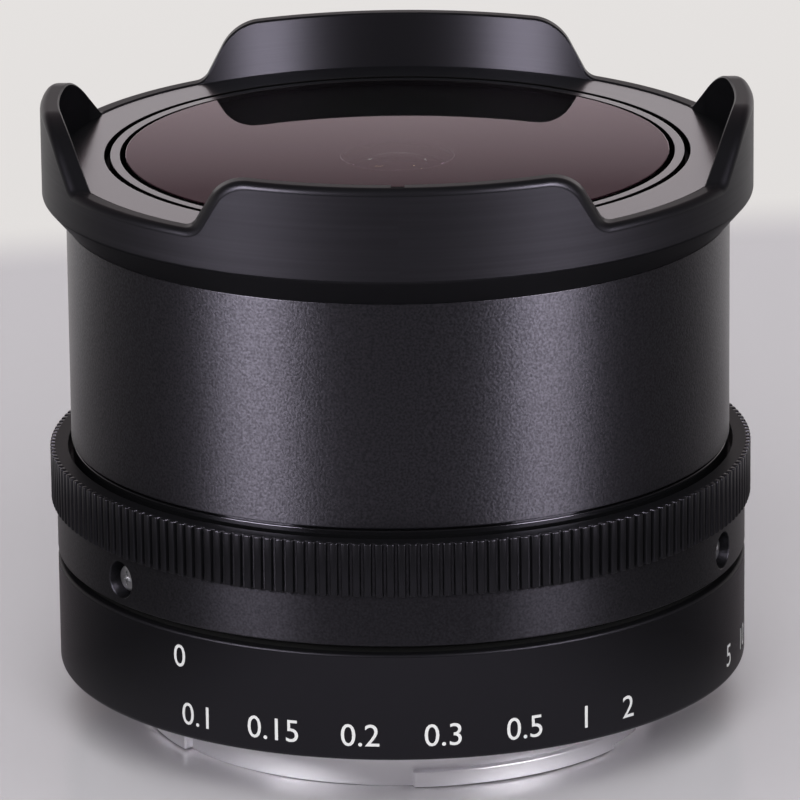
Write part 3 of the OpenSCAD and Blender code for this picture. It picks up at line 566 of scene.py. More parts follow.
# Column of faces from the band's lower edge, the second corner, to its upper edge
BAND_COLUMN = 2 * CORNER - 1
ring_outline = [
    (FOCUS_BORE_R, RING_Z0, 0), (BAND_R, RING_Z0, RING_EDGE), (BAND_R, BAND_Z1, SMALL),
    (ROOT_R, BAND_Z1, SMALL), (ROOT_R, RING_Z1, RING_TOP_EDGE), (GRIP_BORE_R, RING_Z1, RING_TOP_EDGE),
    (GRIP_BORE_R, GRIP_FLOOR_Z, 0), (FOCUS_BORE_R, GRIP_FLOOR_Z, 0),
]
ring_turns = []
wall = 360 / len(SCREW_TURNS) - 2 * WINDOW
for first in SCREW_TURNS:
    ring_turns += [first - WINDOW + i * 2 * WINDOW / WINDOW_STEPS for i in range(WINDOW_STEPS)]
    ring_turns += [first + WINDOW + i * wall / WALL_STEPS for i in range(WALL_STEPS)]


def in_band_window(i, j):
    return i == BAND_COLUMN and j % (WINDOW_STEPS + WALL_STEPS) < WINDOW_STEPS


def recess(shell, turn):
    """Fills one window of the band, with a round recess in its middle."""
    low, high = RING_Z0 + RING_EDGE - SCREW_Z, BAND_Z1 - SMALL - SCREW_Z
    turns = [radians(-WINDOW + i * 2 * WINDOW / WINDOW_STEPS) for i in range(WINDOW_STEPS)]
    across = [BAND_R * sin(a) for a in turns]
    side = BAND_R * sin(radians(WINDOW))
    up = [low + (high - low) * i / WINDOW_STEPS for i in range(WINDOW_STEPS)]
    edge = [(x, low) for x in across] + [(side, z) for z in up] + [(-x, high) for x in across]
    edge += [(-side, low + high - z) for z in up]
    about = Matrix.Rotation(radians(turn), 3, "Z")

    def place(u, v, depth):
        out = sqrt(BAND_R * BAND_R - u * u)
        normal = about @ Vector((u / BAND_R, -out / BAND_R, 0))
        return tuple(about @ Vector((u, depth - out, SCREW_Z + v))), tuple(normal)

    pocket(shell, edge, RECESS_R, BAND_R - RECESS_FLOOR, place)


ring = Shell()
ring.grid(turned_rows(ring_outline, ring_turns), skip=in_band_window)
for turn in SCREW_TURNS:
    recess(ring, turn)
focus_ring = ring.make("focus_ring_body")
# The ring's top face beside the barrel gets the duller black, painted shade
shaded_z = RING_Z1 - RING_TOP_EDGE - NEAR
paint_part(focus_ring, band_black, painted_shade_black, lambda face: face.center.z / MM > shaded_z)
dress(focus_ring, "focus_ring", band_black, "black_anodised", "focus_ring")

# %% [markdown]
# One rib of the knurl is a bar with a flat top, sloping flanks and bevelled ends. The node tree makes two
# hundred of it. Modelling the knurl as bump would lose its toothed outline.

# %% Knurl
RIB_COUNT, RIB_FOOT, RIB_TOP, RIB_SINK, RIB_BEVEL = 200, 0.383, 0.29, 0.06, 0.09


def from_bmesh(name, work):
    """A new object from a bmesh, which is freed."""
    mesh = bpy.data.meshes.new(name)
    work.to_mesh(mesh)
    work.free()
    return show(name, mesh)


rib_work = bmesh.new()
root = ROOT_R - RIB_SINK
section = [(-RIB_FOOT, root), (RIB_FOOT, root), (RIB_TOP, KNURL_R), (-RIB_TOP, KNURL_R)]
ends = [[rib_work.verts.new(Vector((x, -r, z)) * MM) for x, r in section] for z in (BAND_Z1, RING_Z1)]
rib_work.faces.new(reversed(ends[0]))
rib_work.faces.new(ends[1])
for i in range(4):
    rib_work.faces.new((ends[0][i], ends[0][(i + 1) % 4], ends[1][(i + 1) % 4], ends[1][i]))
rib_work.normal_update()
outer = [e for e in rib_work.edges if any(-v.co.y / MM > KNURL_R - NEAR for v in e.verts)]
bmesh.ops.bevel(rib_work, geom=outer, offset=RIB_BEVEL * MM, segments=2, profile=0.5, affect="EDGES")
rib = from_bmesh("rib", rib_work)
rib.data.shade_smooth()
rib.data.set_sharp_from_angle(angle=radians(50))
ribs = spread("knurl_ribs", rib, RIB_COUNT, 0, knurl_black)
dress(ribs, "focus_ring", knurl_black, "black_anodised")

# %% [markdown]
# A cross-head screw is a low turned head with two slots. The slots are cut by a boolean, because the head is
# so small that its shading doesn't matter. The same head, in two sizes, serves the focus ring and the mount.

# %% Screws of the focus ring
# Radius of the tiny hole at a screw head's middle
POLE = 0.001
HEAD_R, HEAD_H, SLOT_W, SLOT_DEPTH = 1.1, 0.55, 0.36, 0.34


def slot_cutter(radius, width, sink, turn):
    """A wedge for one slot of a screw head, smaller at its floor."""
    work = bmesh.new()
    bmesh.ops.create_cube(work, size=1)
    for v in work.verts:
        low = v.co.z < 0
        v.co.x *= radius * (0.9 if low else 1.3) * MM
        v.co.y *= width * (0.7 if low else 1.0) * MM
        v.co.z = (-sink if low else 0.2) * MM
    bmesh.ops.rotate(work, verts=work.verts, matrix=Matrix.Rotation(radians(turn), 3, "Z"))
    return from_bmesh("slot", work)


def cross_head(name, radius, height, slot, sink):
    """A screw head with its face in the XY plane, looking up."""
    line = rounded([
        (radius, -height, 0), (radius, 0, height * 0.35), (POLE, 0, POLE / 2), (POLE, -height, POLE / 2),
    ], 5)
    shell = Shell()
    shell.grid([at_turn(line, t) for t in range(0, 360, 10)])
    head = shell.make(name)
    for turn in (0, 90):
        cutter = slot_cutter(radius, slot, sink, turn)
        cut = head.modifiers.new("slot", "BOOLEAN")
        cut.operation, cut.solver, cut.object = "DIFFERENCE", "EXACT", cutter
        mesh = evaluated_mesh(head)
        head.modifiers.clear()
        head.data = mesh
        bpy.data.objects.remove(cutter)
    return head


screw = cross_head("focus_screw", HEAD_R, HEAD_H, SLOT_W, SLOT_DEPTH)
seat = Matrix.Translation((0, -(RECESS_FLOOR + HEAD_H) * MM, SCREW_Z * MM))
screw.data.transform(seat @ Matrix.Rotation(radians(90), 4, "X"))
focus_screws = spread("focus_screw_heads", screw, len(SCREW_TURNS), SCREW_TURNS[0], steel)
dress(focus_screws, "focus_ring", steel, "steel", "focus_ring_screws")

# %% [markdown]
# ## Barrel
# The barrel is one turned tube. Below it runs a thin lip with a groove, which catches a bright line of
# light, and it dips into the grip. Lip and groove are smooth, and the rest is blasted.

# %% Barrel
FOOT_BORE_R, FOOT_TOP_Z, TOP_BORE_R, SPIGOT_R = 26.81, 24.02, 25.56, 27.03
LIP_R, LIP_Z1, GROOVE_R, BARREL_Z0, BARREL_EDGE = 28.5, 20.12, 28.2, 20.32, 0.12
barrel = lathe("barrel_body", [
    (FOOT_BORE_R, LIP_Z0, 0), (LIP_R, LIP_Z0, 0), (LIP_R, LIP_Z1, BARREL_EDGE), (GROOVE_R, LIP_Z1, 0),
    (GROOVE_R, BARREL_Z0, 0), (BARREL_R, BARREL_Z0, BARREL_EDGE), (BARREL_R, HOOD_Z0, 0.05),
    (SPIGOT_R, HOOD_Z0, 0), (SPIGOT_R, SPIGOT_Z1, 0), (TOP_BORE_R, SPIGOT_Z1, 0), (TOP_BORE_R, FOOT_TOP_Z, 0),
    (FOOT_BORE_R, FOOT_TOP_Z, 0),
])
smooth_z = BARREL_Z0 - 2 * NEAR
paint_part(barrel, blasted_black, black_anodised, lambda face: face.center.z / MM < smooth_z)
dress(barrel, "optical_unit", blasted_black, "blasted_black", "outer_barrel")

# %% [markdown]
# ## Petal hood
# The hood is a turned ring whose top edge rises into two wide and two narrow petals. Cutting the gaps with a
# boolean and rounding the cut edge with a bevel is hard on a curved wall. So the edge is drawn first, as a
# curve of distance and height along each petal, with its own normals: a flat top, a round shoulder, a
# straight flank and a round foot.

# %% Edge of the petals
RIM_Z, FOOT_R = 45.45, 1.2
# Width at the foot, slope of the flanks in degrees and radius of the shoulders
WIDE, NARROW = (34.3, 61, 3.7), (26.4, 42, 10)
TOP_STEPS, SHOULDER_STEPS, FOOT_STEPS, GAP_STEPS = 12, 16, 8, 20
# Width and depth of the index notch in the front petal's top
INDEX_W, INDEX_DEPTH = 1.1, 0.6


def petal_edge(width, slope, shoulder):
    """One half of a petal's edge, from its middle to its foot: (distance, height, normal)."""
    lean = radians(slope)
    shoulder_z = HOOD_Z1 - shoulder * (1 - cos(lean))
    top = width / 2 - (shoulder_z - RIM_Z) / tan(lean) - shoulder * sin(lean)
    foot = width / 2 + FOOT_R * tan(lean / 2)
    edge = [(top * i / TOP_STEPS, HOOD_Z1, 0) for i in range(TOP_STEPS)]
    for i in range(SHOULDER_STEPS + 1):
        a = lean * i / SHOULDER_STEPS
        edge.append((top + shoulder * sin(a), HOOD_Z1 - shoulder * (1 - cos(a)), a))
    for i in range(FOOT_STEPS + 1):
        a = lean * (1 - i / FOOT_STEPS)
        edge.append((foot - FOOT_R * sin(a), RIM_Z + FOOT_R * (1 - cos(a)), a))
    return [(x, z, (sin(a), cos(a))) for x, z, a in edge]


wide, narrow = petal_edge(*WIDE), petal_edge(*NARROW)
stations = []
for middle, edge, after in ((0, wide, narrow), (90, narrow, wide), (180, wide, narrow), (270, narrow, wide)):
    petal = [(-x, z, (-n[0], n[1])) for x, z, n in reversed(edge[1:])] + edge
    if middle == 0:
        notch = [sign * (INDEX_W / 2 + more) for sign in (-1, 1) for more in (0, NEAR)]
        petal = sorted(petal + [(x, HOOD_Z1, (0, 1)) for x in notch], key=lambda k: k[0])
    stations += [(middle, x, z, n, None) for x, z, n in petal]
    gaps = [(i / GAP_STEPS, after[-1][0]) for i in range(1, GAP_STEPS)]
    stations += [(middle, edge[-1][0], RIM_Z, (0, 1), gap) for gap in gaps]
print(len(stations), "stations round the hood")

# %% [markdown]
# At each station of that edge a cross-section of the wall is laid. Below the edge it is the same all round.
# At the edge the outer side is rounded by moving back along the edge's own normal, and the inner side gets a
# thin bevel, or the index notch in the front petal's middle.

# %% Cross-section of the hood
EDGE_R, EDGE_STEPS, INNER = 0.65, 6, 0.15
# Half the width of the smallest bevels on the inner edge, and the size of those on the seat
TINY, BLUNT = 0.02, 0.05
CHAMFER_H, CHAMFER_EDGE, CHAMFER_FOOT = 2.4, 0.12, 0.04
CHAMFER_Z = HOOD_Z0 + CHAMFER_H
BORE_R, SEAT_R = BEZEL_R + FIT, SPIGOT_R + FIT
# The inner wall's normals look up a little, so that it mirrors the dark above the lens
FLANK = radians(16)
INSIDE = (-cos(FLANK), sin(FLANK))
UP, DOWN, IN, OUT = (0, 1), (0, -1), (-1, 0), (1, 0)
slope = Vector((CHAMFER_H, BARREL_R - HOOD_R)).normalized()
between = tuple((slope + Vector(OUT)).normalized())
edge_fall = CHAMFER_EDGE * CHAMFER_H / (HOOD_R - BARREL_R)
lower = [
    (SEAT_R, HOOD_Z0, DOWN), (BARREL_R - BLUNT, HOOD_Z0, DOWN),
    (BARREL_R, HOOD_Z0 + CHAMFER_FOOT, tuple(slope)),
    (HOOD_R - CHAMFER_EDGE, CHAMFER_Z - edge_fall, tuple(slope)),
    (HOOD_R - CHAMFER_EDGE / 4, CHAMFER_Z, between), (HOOD_R, CHAMFER_Z + CHAMFER_EDGE, OUT),
]
inner = [
    (BORE_R, SPIGOT_Z1 + BLUNT, INSIDE), (BORE_R - BLUNT, SPIGOT_Z1, UP), (SEAT_R + BLUNT, SPIGOT_Z1, UP),
    (SEAT_R, SPIGOT_Z1 - BLUNT, IN), (SEAT_R, HOOD_Z0 + BLUNT, IN),
]


def wall_section(notched):
    """The rim's section from the outer to the inner wall: (radius, set back, lean)."""
    section = []
    for i in range(EDGE_STEPS + 1):
        lean = 90 * i / EDGE_STEPS
        a = radians(lean)
        section.append((HOOD_R - EDGE_R * (1 - cos(a)), EDGE_R * (1 - sin(a)), lean))
    bevel_r = BORE_R + INNER
    if notched:
        root = bevel_r + INDEX_DEPTH
        section += [(root, 0, 135), (root, INDEX_DEPTH, 135)]
        return section + [(BORE_R + TINY, INDEX_DEPTH, 90), (BORE_R, INDEX_DEPTH + TINY, 180)]
    section += [(bevel_r + TINY, 0, 90), (bevel_r - TINY, TINY, 135)]
    return section + [(BORE_R + TINY, INNER - TINY, 135), (BORE_R, INNER + TINY, 180)]


def turn_at(station, x, r):
    """Turn of a point at distance x from a petal's middle, or on the rim between petals."""
    middle, edge_x, z, n, gap = station
    if gap is None:
        return middle + degrees(asin(x / r))
    share, after_x = gap
    first, last = degrees(asin(edge_x / r)), 90 - degrees(asin(after_x / r))
    return middle + first + (last - first) * share


print(len(lower) + len(wall_section(False)) + len(inner), "points in a section of the hood")

# %% [markdown]
# The sections make one closed sheet. Its faces get five finishes: the outer wall is turned, the chamfer gets
# the duller black as painted shade under the hood, the inside is dull, the rounded edge is a little glossier,
# and the index notch is lacquered.


# %% Hood
def hood_row(station):
    """(point, normal) along the hood's section at a station."""
    middle, x, z, n, gap = station
    side = Vector(on_turn(n[0], middle + 90, n[1]))

    def plain(section):
        made = []
        for r, height, normal in section:
            t = turn_at(station, x, r)
            made.append((on_turn(r, t, height), on_turn(normal[0], t, normal[1])))
        return made

    rim = []
    for r, back, lean in wall_section(middle == 0 and abs(x) <= INDEX_W / 2):
        t = turn_at(station, x - n[0] * back, r)
        s, c = sin(radians(lean)), cos(radians(lean))
        looks = tuple(Vector(on_turn(c, t, 0)) + side * s)
        if lean == 180:
            looks = on_turn(INSIDE[0], t, INSIDE[1])
        rim.append((on_turn(r, t, z - n[1] * back), looks))
    return plain(lower) + rim + plain(inner)


hood = Shell()
hood.grid([hood_row(station) for station in stations])
petal_hood = hood.make("petal_hood_body")


def hood_finish(face):
    """Finish of a face by its place."""
    corners = [petal_hood.data.vertices[i].co / MM for i in face.vertices]
    radii, top = [c.xy.length for c in corners], max(c.z for c in corners)
    # The chamfer under the hood gets the duller black, painted shade
    if top < CHAMFER_Z + NEAR and max(radii) > BARREL_R:
        return painted_shade_black
    if max(radii) < BORE_R + NEAR:
        return hood_inside
    if min(radii) >= HOOD_R - NEAR:
        return turned_black
    notched = top > HOOD_Z1 - 1 and max(radii) < HOOD_R - EDGE_R + NEAR
    notched = notched and all(c.y < 0 and abs(c.x) < INDEX_W / 2 + 3 * NEAR for c in corners)
    return lacquer_and_shade if notched else petal_gloss


paint(petal_hood, (turned_black, painted_shade_black, hood_inside, petal_gloss, lacquer_and_shade), hood_finish)
dress(petal_hood, "optical_unit", turned_black, "turned_black", "petal_hood")

# %% [markdown]
# ## Bezel and retaining ring
# Two flat satin rings lie round the glass, with a dark groove on each side of the narrow one. Only their
# flat faces are satin. Their edges and walls get a dead black lacquer, painted shade that keeps the grooves
# dark.

# %% Bezel and retaining ring
BEZEL_BORE_R, BEZEL_STEP_Z, RETAINER_BORE_R, RING_BEVEL = 25.21, 44.3, 23.86, 0.08
bezel = lathe("bezel_ring", [
    (TOP_BORE_R, BEZEL_Z0, 0), (BEZEL_R, BEZEL_Z0, 0), (BEZEL_R, BEZEL_Z1, 0.06),
    (BEZEL_BORE_R, BEZEL_Z1, RING_BEVEL), (BEZEL_BORE_R, BEZEL_STEP_Z, 0), (TOP_BORE_R, BEZEL_STEP_Z, 0),
])
retainer = lathe("retaining_ring", [
    (RETAINER_BORE_R, LEDGE_Z, 0), (RETAINER_R, LEDGE_Z, 0), (RETAINER_R, RETAINER_Z1, RING_BEVEL),
    (RETAINER_BORE_R, RETAINER_Z1, RING_BEVEL),
])
# Edges and walls get the dead black, painted shade for the grooves
for flat_ring in (bezel, retainer):
    paint_part(flat_ring, satin_bezel, lacquer_and_shade, lambda face: face.normal.z < 0.98)
dress(bezel, "optical_unit", satin_bezel, "turned_black", "front_bezel")
dress(retainer, "optical_unit", satin_bezel, "turned_black", "front_retaining_ring")

# %% [markdown]
# ## Front glass
# The front element is a real solid of glass: a flat disc with a small hollow at its back and a bevel round
# its face. Its sides and the flat of its back are lacquered black, as lens makers do against stray light, so
# only the face and the hollow are clear. The hollow's edge is rounded, because the photo shows it as a thin
# bright ellipse.

# %% Front glass
GLASS_R, GLASS_BEVEL, FACE_R = 23.46, 0.12, 1
HOLLOW_R, HOLLOW_D, HOLLOW_EDGE = 8.0, 9.5, 0.6
drop = sqrt(HOLLOW_R ** 2 - (HOLLOW_D / 2) ** 2)
hollow_z = GLASS_Z0 - drop
edge_r = sqrt((HOLLOW_R + HOLLOW_EDGE) ** 2 - (drop + HOLLOW_EDGE) ** 2)
reach = asin(edge_r / (HOLLOW_R + HOLLOW_EDGE))


def ways(steps):
    """Directions from the axis to where the hollow's round edge starts."""
    return [Vector((sin(reach * i / steps), cos(reach * i / steps))) for i in range(steps + 1)]


hollow_middle, edge_middle = Vector((0, hollow_z)), Vector((edge_r, GLASS_Z0 + HOLLOW_EDGE))
line = [(way * HOLLOW_R + hollow_middle, -way) for way in ways(24)[1:]]
line += [(edge_middle - way * HOLLOW_EDGE, -way) for way in reversed(ways(8)[:-1])]
line += rounded([
    (HOLLOW_D / 2, GLASS_Z0, 0), (GLASS_BACK_R, GLASS_Z0, 0.1), (GLASS_BACK_R, LEDGE_Z, 0.05),
    (GLASS_R, LEDGE_Z, 0.02), (GLASS_R, GLASS_Z1, GLASS_BEVEL), (HOLLOW_D / 2, GLASS_Z1, 0),
])[CORNER:-CORNER]
line.append((Vector((FACE_R, GLASS_Z1)), Vector(UP)))
shell = Shell()
shell.grid([at_turn(line, t) for t in ROUND], closed_columns=False)
for end, height, turns in ((line[-1], GLASS_Z1, ROUND), (line[0], hollow_z + HOLLOW_R, ROUND[::-1])):
    shell.fan([at_turn([end], t)[0] for t in turns], (0, 0, height), (0, 0, end[1].y))
front_glass = shell.make("front_glass")


def glass_finish(face):
    """Coated in front, clear in the hollow and lacquered elsewhere."""
    if face.center.z / MM >= GLASS_Z1 - GLASS_BEVEL - 3 * NEAR:
        return coated_glass
    r = face.center.xy.length / MM
    if r > edge_r:
        return lacquer_and_shade
    return edge_glass if r > HOLLOW_R * sin(reach) - NEAR else hollow_glass


paint(front_glass, (coated_glass, lacquer_and_shade, hollow_glass, edge_glass), glass_finish)
dress(front_glass, "optical_unit", coated_glass, "coated_glass", "front_element")

# %% [markdown]
# ## Bayonet
# The mount is a turned flange and cylinder of bright metal, with three lugs. A lug is a short piece of
# a ring with bevelled ends. The flange's rear face has four sunk screws and the hole for the camera's lock
# pin, and its sheet is left open in a window for each.

# %% Flange and cylinder
MOUNT_BORE_R, TUBE_R, STEP_R, STEP_Z, MASK_R, MASK_Z = 20.0, 21.77, 23.25, 0.2, 21.41, 1.15
HOLES_R, SCREW_HOLE, LOCK_HOLE = 25.71, (1.84, 1.0), (1.5, 1.2)
MOUNT_SCREW_TURNS, LOCK_TURN = (45, 135, 225, 315), 90
HOLES = {turn: SCREW_HOLE for turn in MOUNT_SCREW_TURNS}
HOLES[LOCK_TURN] = LOCK_HOLE
# Column of faces from the rear face's inner edge, the fifth corner, to its outer edge
SEAT_COLUMN = 5 * CORNER - 1
mount_rows = turned_rows([
    (MOUNT_BORE_R, MOUNT_Z0, 0.15), (TUBE_R, MOUNT_Z0, 0.12), (TUBE_R, STEP_Z, 0), (STEP_R, STEP_Z, 0),
    (STEP_R, 0, 0.04), (FLANGE_R, 0, 0.06), (FLANGE_R, FLANGE_Z1, 0), (MASK_R, FLANGE_Z1, 0),
    (MASK_R, MASK_Z, 0), (MOUNT_BORE_R, MASK_Z, 0),
], ROUND)
seat_low, seat_high = (-mount_rows[0][i][0][1] for i in (SEAT_COLUMN, SEAT_COLUMN + 1))


def in_seat_window(i, j):
    return i == SEAT_COLUMN and any(0 <= ROUND[j] - t + WINDOW < 2 * WINDOW for t in HOLES)


def flange_hole(shell, turn, radius, depth):
    """Fills one window of the rear face, with a round hole in its middle."""
    count = 2 * WINDOW * len(ROUND) // 360 + 1
    spots = [radians(t) - radians(WINDOW) for t in ROUND[:count]]
    edge = [(seat_low * sin(t), seat_low * cos(t) - HOLES_R) for t in spots]
    edge += [(seat_high * sin(t), seat_high * cos(t) - HOLES_R) for t in reversed(spots)]
    about = Matrix.Rotation(radians(turn), 3, "Z")

    def place(u, v, sink):
        return tuple(about @ Vector((u, -HOLES_R - v, sink))), (0, 0, -1)

    pocket(shell, edge, radius, depth, place)


shell = Shell()
shell.grid(mount_rows, skip=in_seat_window)
for turn, (radius, depth) in HOLES.items():
    flange_hole(shell, turn, radius, depth)
print(len(HOLES), "holes in the flange")

# %% [markdown]
# The lugs are added to the same shell. Each end has a ring of bevel faces and a flat cap. The ends have no
# lathe marks, so they get a finish without the stretched sheen.

# %% Lugs
LUG_TURNS, LUG_ANGLE, LUG_STEPS = (28, 152, 277), 52, 40
LUG_ROOT_R, LUG_R, LUG_Z0, LUG_Z1, LUG_BEVEL = 21.0, 22.55, -4.85, -3.45, 0.12


def lug_section(inset, fillet):
    """Outline of a lug, made smaller by an inset."""
    low, high, out = LUG_Z0 + inset, LUG_Z1 - inset, LUG_R - inset
    return [(LUG_ROOT_R, low, 0.02), (out, low, fillet), (out, high, fillet), (LUG_ROOT_R, high, 0.02)]


def lug(shell, turn):
    """Adds a short piece of a turned ring with bevelled ends."""
    lean = degrees(LUG_BEVEL / LUG_R)
    step = (LUG_ANGLE - 2 * lean) / LUG_STEPS
    spots = [turn - LUG_ANGLE / 2 + lean + i * step for i in range(LUG_STEPS + 1)]
    full, small = lug_section(0, 0.1), lug_section(LUG_BEVEL, 0.05)
    shell.grid(turned_rows(full, spots), closed_rows=False)
    for sign, end in ((-1, spots[0]), (1, spots[-1])):
        along = Vector(on_turn(1, end + 90, 0)) * sign
        a = [(p, Vector(n) + along) for p, n in turned_rows(full, [end])[0]]
        b = [(p, Vector(n) + along) for p, n in turned_rows(small, [end + sign * lean])[0]]
        shell.grid([a, b] if sign > 0 else [b, a], closed_rows=False)
        cap = [(p, along) for p, n in b]
        middle = sum((Vector(p) for p, n in cap), Vector()) / len(cap)
        shell.fan(cap[::-1] if sign > 0 else cap, tuple(middle), tuple(along))


def looks_along(face):
    """Whether a face looks round the axis, as a lug's ends do."""
    x, y = face.center.xy.normalized()
    return abs(face.normal.x * y - face.normal.y * x) > 0.5


for turn in LUG_TURNS:
    lug(shell, turn)
mount = shell.make("bayonet_body")
paint_part(mount, bright_metal, bright_ends, looks_along)
dress(mount, "base", bright_metal, "bright_metal", "bayonet_mount")

# %% [markdown]
# The mount's four screws are sunk a little below its face, so that they never touch the camera.

# %% Screws of the mount
SCREW_HEAD_R, SCREW_HEAD_H, SCREW_SINK, SCREW_SLOT = 1.8, 0.9, 0.1, 0.5
screw = cross_head("mount_screw", SCREW_HEAD_R, SCREW_HEAD_H, SCREW_SLOT, SCREW_SLOT)
seat = Matrix.Translation((0, -HOLES_R * MM, SCREW_SINK * MM))
screw.data.transform(seat @ Matrix.Rotation(pi, 4, "X"))
mount_screws = spread("mount_screw_heads", screw, len(MOUNT_SCREW_TURNS), MOUNT_SCREW_TURNS[0], steel)
dress(mount_screws, "base", steel, "steel", "mount_screws")

# %% [markdown]
# ## Pieces that keep their CAD meshes
# What lies inside is hardly seen, so it keeps its CAD mesh and only gets a finish that suits it.

# %% Inner pieces
FINISHES = dict(
    steel=steel, brass=brass, glass=glass, black_plastic=black_plastic, blackened_metal=blackened_metal,
)
slots = {part["node"]: part["material_slot"] for part in frame["record"]["subparts"]}
for name, node in frame["nodes"].items():
    if not node.hide_render:
        node.data.materials.clear()
        node.data.materials.append(FINISHES[slots[name]])
print(sum(not n.hide_render for n in frame["nodes"].values()), "CAD meshes stay")

# %% [markdown]
# ## Table and backdrop
# The photo shows a grey glossy table that ends in a pale backdrop. The table is a large plane. Past a wide
# curve it turns into the backdrop, but only for what is seen and not for the light that falls on the lens.


# %% Table
def distance_from(tree, vector, point):
    """Distance of a vector from a point."""
    return add(tree, "ShaderNodeVectorMath", vector, point, operation="DISTANCE").outputs["Value"]


def seen(tree):
    """1 for what is seen directly, mirrored or through glass, and 0 for light."""
    path = add(tree, "ShaderNodeLightPath").outputs
    mirrored_too = combine(tree, "MAXIMUM", path["Is Camera Ray"], path["Is Glossy Ray"])
    return combine(tree, "MAXIMUM", mirrored_too, path["Is Transmission Ray"])


def blend_shaders(tree, share, first, second, output):
    """Puts a mix of two shaders on a tree's output."""
    mix = add(tree, "ShaderNodeMixShader", share, first.outputs[0], second.outputs[0])
    tree.links.new(mix.outputs[0], tree.nodes[output].inputs["Surface"])


TABLE_Z = MOUNT_Z0 * MM
TABLE_GREY, MIRRORED_SHADE_GREY = (0.52, 0.505, 0.53), (0.07, 0.067, 0.073)
CURVE_MIDDLE, LIT_MIDDLE = (0.066, -0.45, TABLE_Z), (0, -0.05, TABLE_Z)
table_mesh = bpy.data.meshes.new("table")
corners = [(x, y, TABLE_Z - 10 * MICRON) for x, y in ((-4, -4), (4, -4), (4, 4), (-4, 4))]
table_mesh.from_pydata(corners, [], [(0, 1, 2, 3)])
table = show("table", table_mesh)
floor = finish_of("table", TABLE_GREY, 0.16)
table_mesh.materials.append(floor)
tree, spot = floor.node_tree, object_vector(floor)
from_curve = distance_from(tree, spot, CURVE_MIDDLE)
strength = ramp(tree, from_curve, 0.62, 0.95, 0.92, 1, kind="LINEAR")
pale = add(tree, "ShaderNodeEmission", (0.83, 0.805, 0.79, 1), strength)
far_and_seen = combine(tree, "MULTIPLY", seen(tree), ramp(tree, from_curve, 0.597, 0.617))
blend_shaders(tree, far_and_seen, shader_of(floor), pale, "Material Output")
print("table", [round(size) for size in table.dimensions], "metres")

# %% [markdown]
# The black barrel mirrors the table. Beside the lens the mirrored table is a darker grey, painted shade that
# only reflections see, so that the barrel keeps its contrast. Light Path limits that grey to mirrored rays.

# %% Mirrored table
places = add(tree, "ShaderNodeSeparateXYZ", spot)
outside = ramp(tree, distance_from(tree, spot, LIT_MIDDLE), 0.03, 0.075)
not_behind = ramp(tree, places.outputs["Y"], 0.05, 0.12, 1, 0)
# Painted shade: where the table, seen in reflections beside the lens, turns darker grey
shade_beside_lens = combine(tree, "MULTIPLY", outside, not_behind)
mirrored = add(tree, "ShaderNodeLightPath").outputs["Is Glossy Ray"]
tones = add(tree, "ShaderNodeMix", data_type="RGBA")
tones.inputs[6].default_value, tones.inputs[7].default_value = (*TABLE_GREY, 1), (*MIRRORED_SHADE_GREY, 1)
tree.links.new(combine(tree, "MULTIPLY", shade_beside_lens, mirrored), tones.inputs[0])
tree.links.new(tones.outputs[2], shader_of(floor).inputs["Base Color"])
print("table finish with", len(tree.nodes), "nodes")

# %% [markdown]
# The world has two jobs. As light it is an even, weak glow. What the camera, the glass and the metal see of
# it is a pale backdrop that gets darker above the height of a table-top tent.

# %% World
world = bpy.data.worlds.new("tent")
bpy.context.scene.world = world
world.use_nodes = True
tree = world.node_tree
glow = tree.nodes["Background"]
glow.inputs["Color"].default_value, glow.inputs["Strength"].default_value = (1, 0.99, 1, 1), 0.45
directions = add(tree, "ShaderNodeTexCoord").outputs["Generated"]
looks = add(tree, "ShaderNodeSeparateXYZ", directions).outputs
heights = add(tree, "ShaderNodeValToRGB", looks["Z"])
low_tone, high_tone = heights.color_ramp.elements
low_tone.position, low_tone.color = 0.2515, (0.87, 0.81, 0.82, 1)
high_tone.position, high_tone.color = 0.2662, (0.2, 0.155, 0.165, 1)
strength = ramp(tree, looks["Y"], 0.3, 0.85, 0.25, 1)
backdrop = add(tree, "ShaderNodeBackground", heights.outputs["Color"], strength)
blend_shaders(tree, seen(tree), glow, backdrop, "World Output")
print("world with", len(tree.nodes), "nodes")

# %% [markdown]
# ## Light
# Big lamps alone would make the black metal grey all over, so the work is shared out: two small panels at
# the front are only mirrored, two at the sides are only seen through the glass, and two wide lamps, overhead
# and in front, only light what is matt. The flat glass, the rings round it and the table would show the
# front panels as white sheets from the other side, so light linking leaves them out.

# %% Lamps
AIM = Vector((0, 0, 0.03))
WHITE, COOL = (1, 1, 1), (0.98, 0.96, 1)
PANEL, GLINT, WIDE_LAMP = ("diffuse", "transmission"), ("diffuse", "glossy"), ("glossy", "transmission")
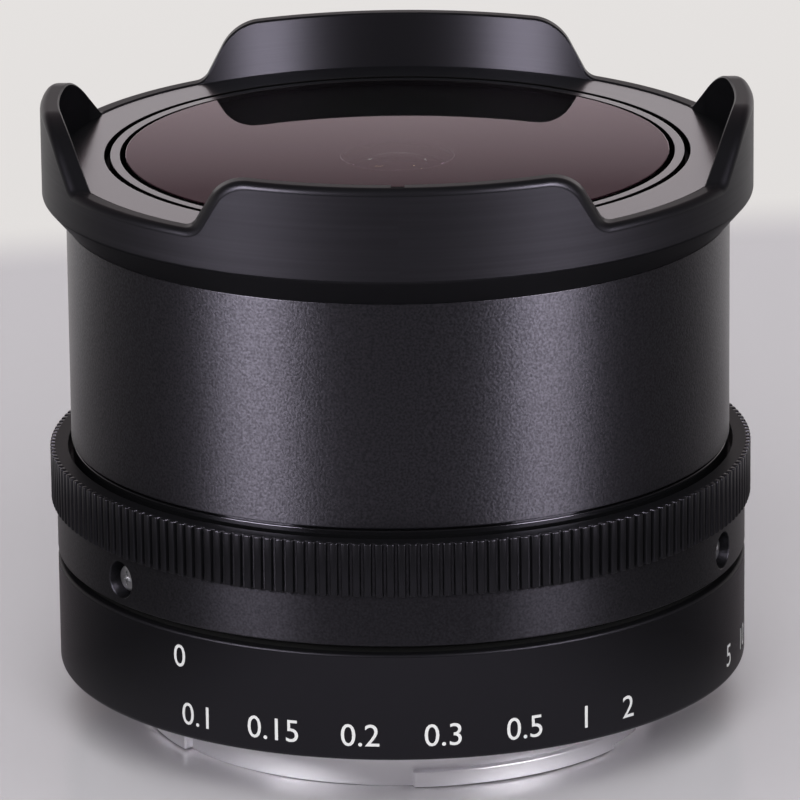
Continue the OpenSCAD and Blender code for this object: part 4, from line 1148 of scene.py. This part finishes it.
# Turn, distance, height, width, depth, radiance, colour and the rays that a lamp is hidden from
LAMPS = {
    "left_panel": (-48.5, 0.21, 0.115, 0.09, 0.08, 60, COOL, PANEL),
    "right_panel": (49, 0.21, 0.115, 0.08, 0.08, 60, COOL, PANEL),
    "left_glint": (-104, 0.21, 0.115, 0.06, 0.06, 450, WHITE, GLINT),
    "right_glint": (104, 0.21, 0.115, 0.06, 0.06, 450, WHITE, GLINT),
    "top_light": (180, 0.15, 0.9, 0.7, 0.6, 2.2, WHITE, WIDE_LAMP),
    "front_light": (0, 0.7, 0.6, 0.7, 0.6, 6.2, WHITE, WIDE_LAMP),
}
flat_mirrors = bpy.data.collections.new("flat_mirrors")
for mirror in (table, front_glass, bezel, retainer):
    flat_mirrors.objects.link(mirror)
for member in flat_mirrors.collection_objects:
    member.light_linking.link_state = "EXCLUDE"
for name, (turn, distance, height, width, depth, radiance, colour, hidden) in LAMPS.items():
    data = bpy.data.lights.new(name, "AREA")
    data.shape, data.size, data.size_y, data.color = "RECTANGLE", width, depth, colour
    data.energy = radiance * pi * width * depth
    lamp = show(name, data)
    lamp.location = on_turn(distance, turn, height)
    lamp.rotation_euler = (AIM - lamp.location).to_track_quat("-Z", "Y").to_euler()
    for rays in ("camera", *hidden):
        setattr(lamp, "visible_" + rays, False)
    if hidden == PANEL:
        lamp.light_linking.receiver_collection = flat_mirrors
print(len(LAMPS), "lamps")

# %% [markdown]
# ## Camera
# The camera was worked out from the ellipses in the photo: a long lens from 0.65 metres, 17 degrees above
# the table, rolled by 0.6 degrees.

# %% Camera
camera_data = bpy.data.cameras.new("camera")
camera_data.lens, camera_data.sensor_width = 335.2, 36
camera_data.clip_start, camera_data.clip_end = 0.01, 20
camera = show("camera", camera_data)
position, target, roll = Vector((0, -0.61977, 0.21271)), Vector((0, 0, 0.022818)), radians(-0.612)
aimed = (target - position).to_track_quat("-Z", "Y").to_matrix().to_4x4()
camera.matrix_world = Matrix.Translation(position) @ aimed @ Matrix.Rotation(roll, 4, "Z")
bpy.context.scene.camera = camera
bpy.context.scene.view_settings.view_transform = "Standard"
print("camera", round((target - position).length, 3), "metres from the lens")
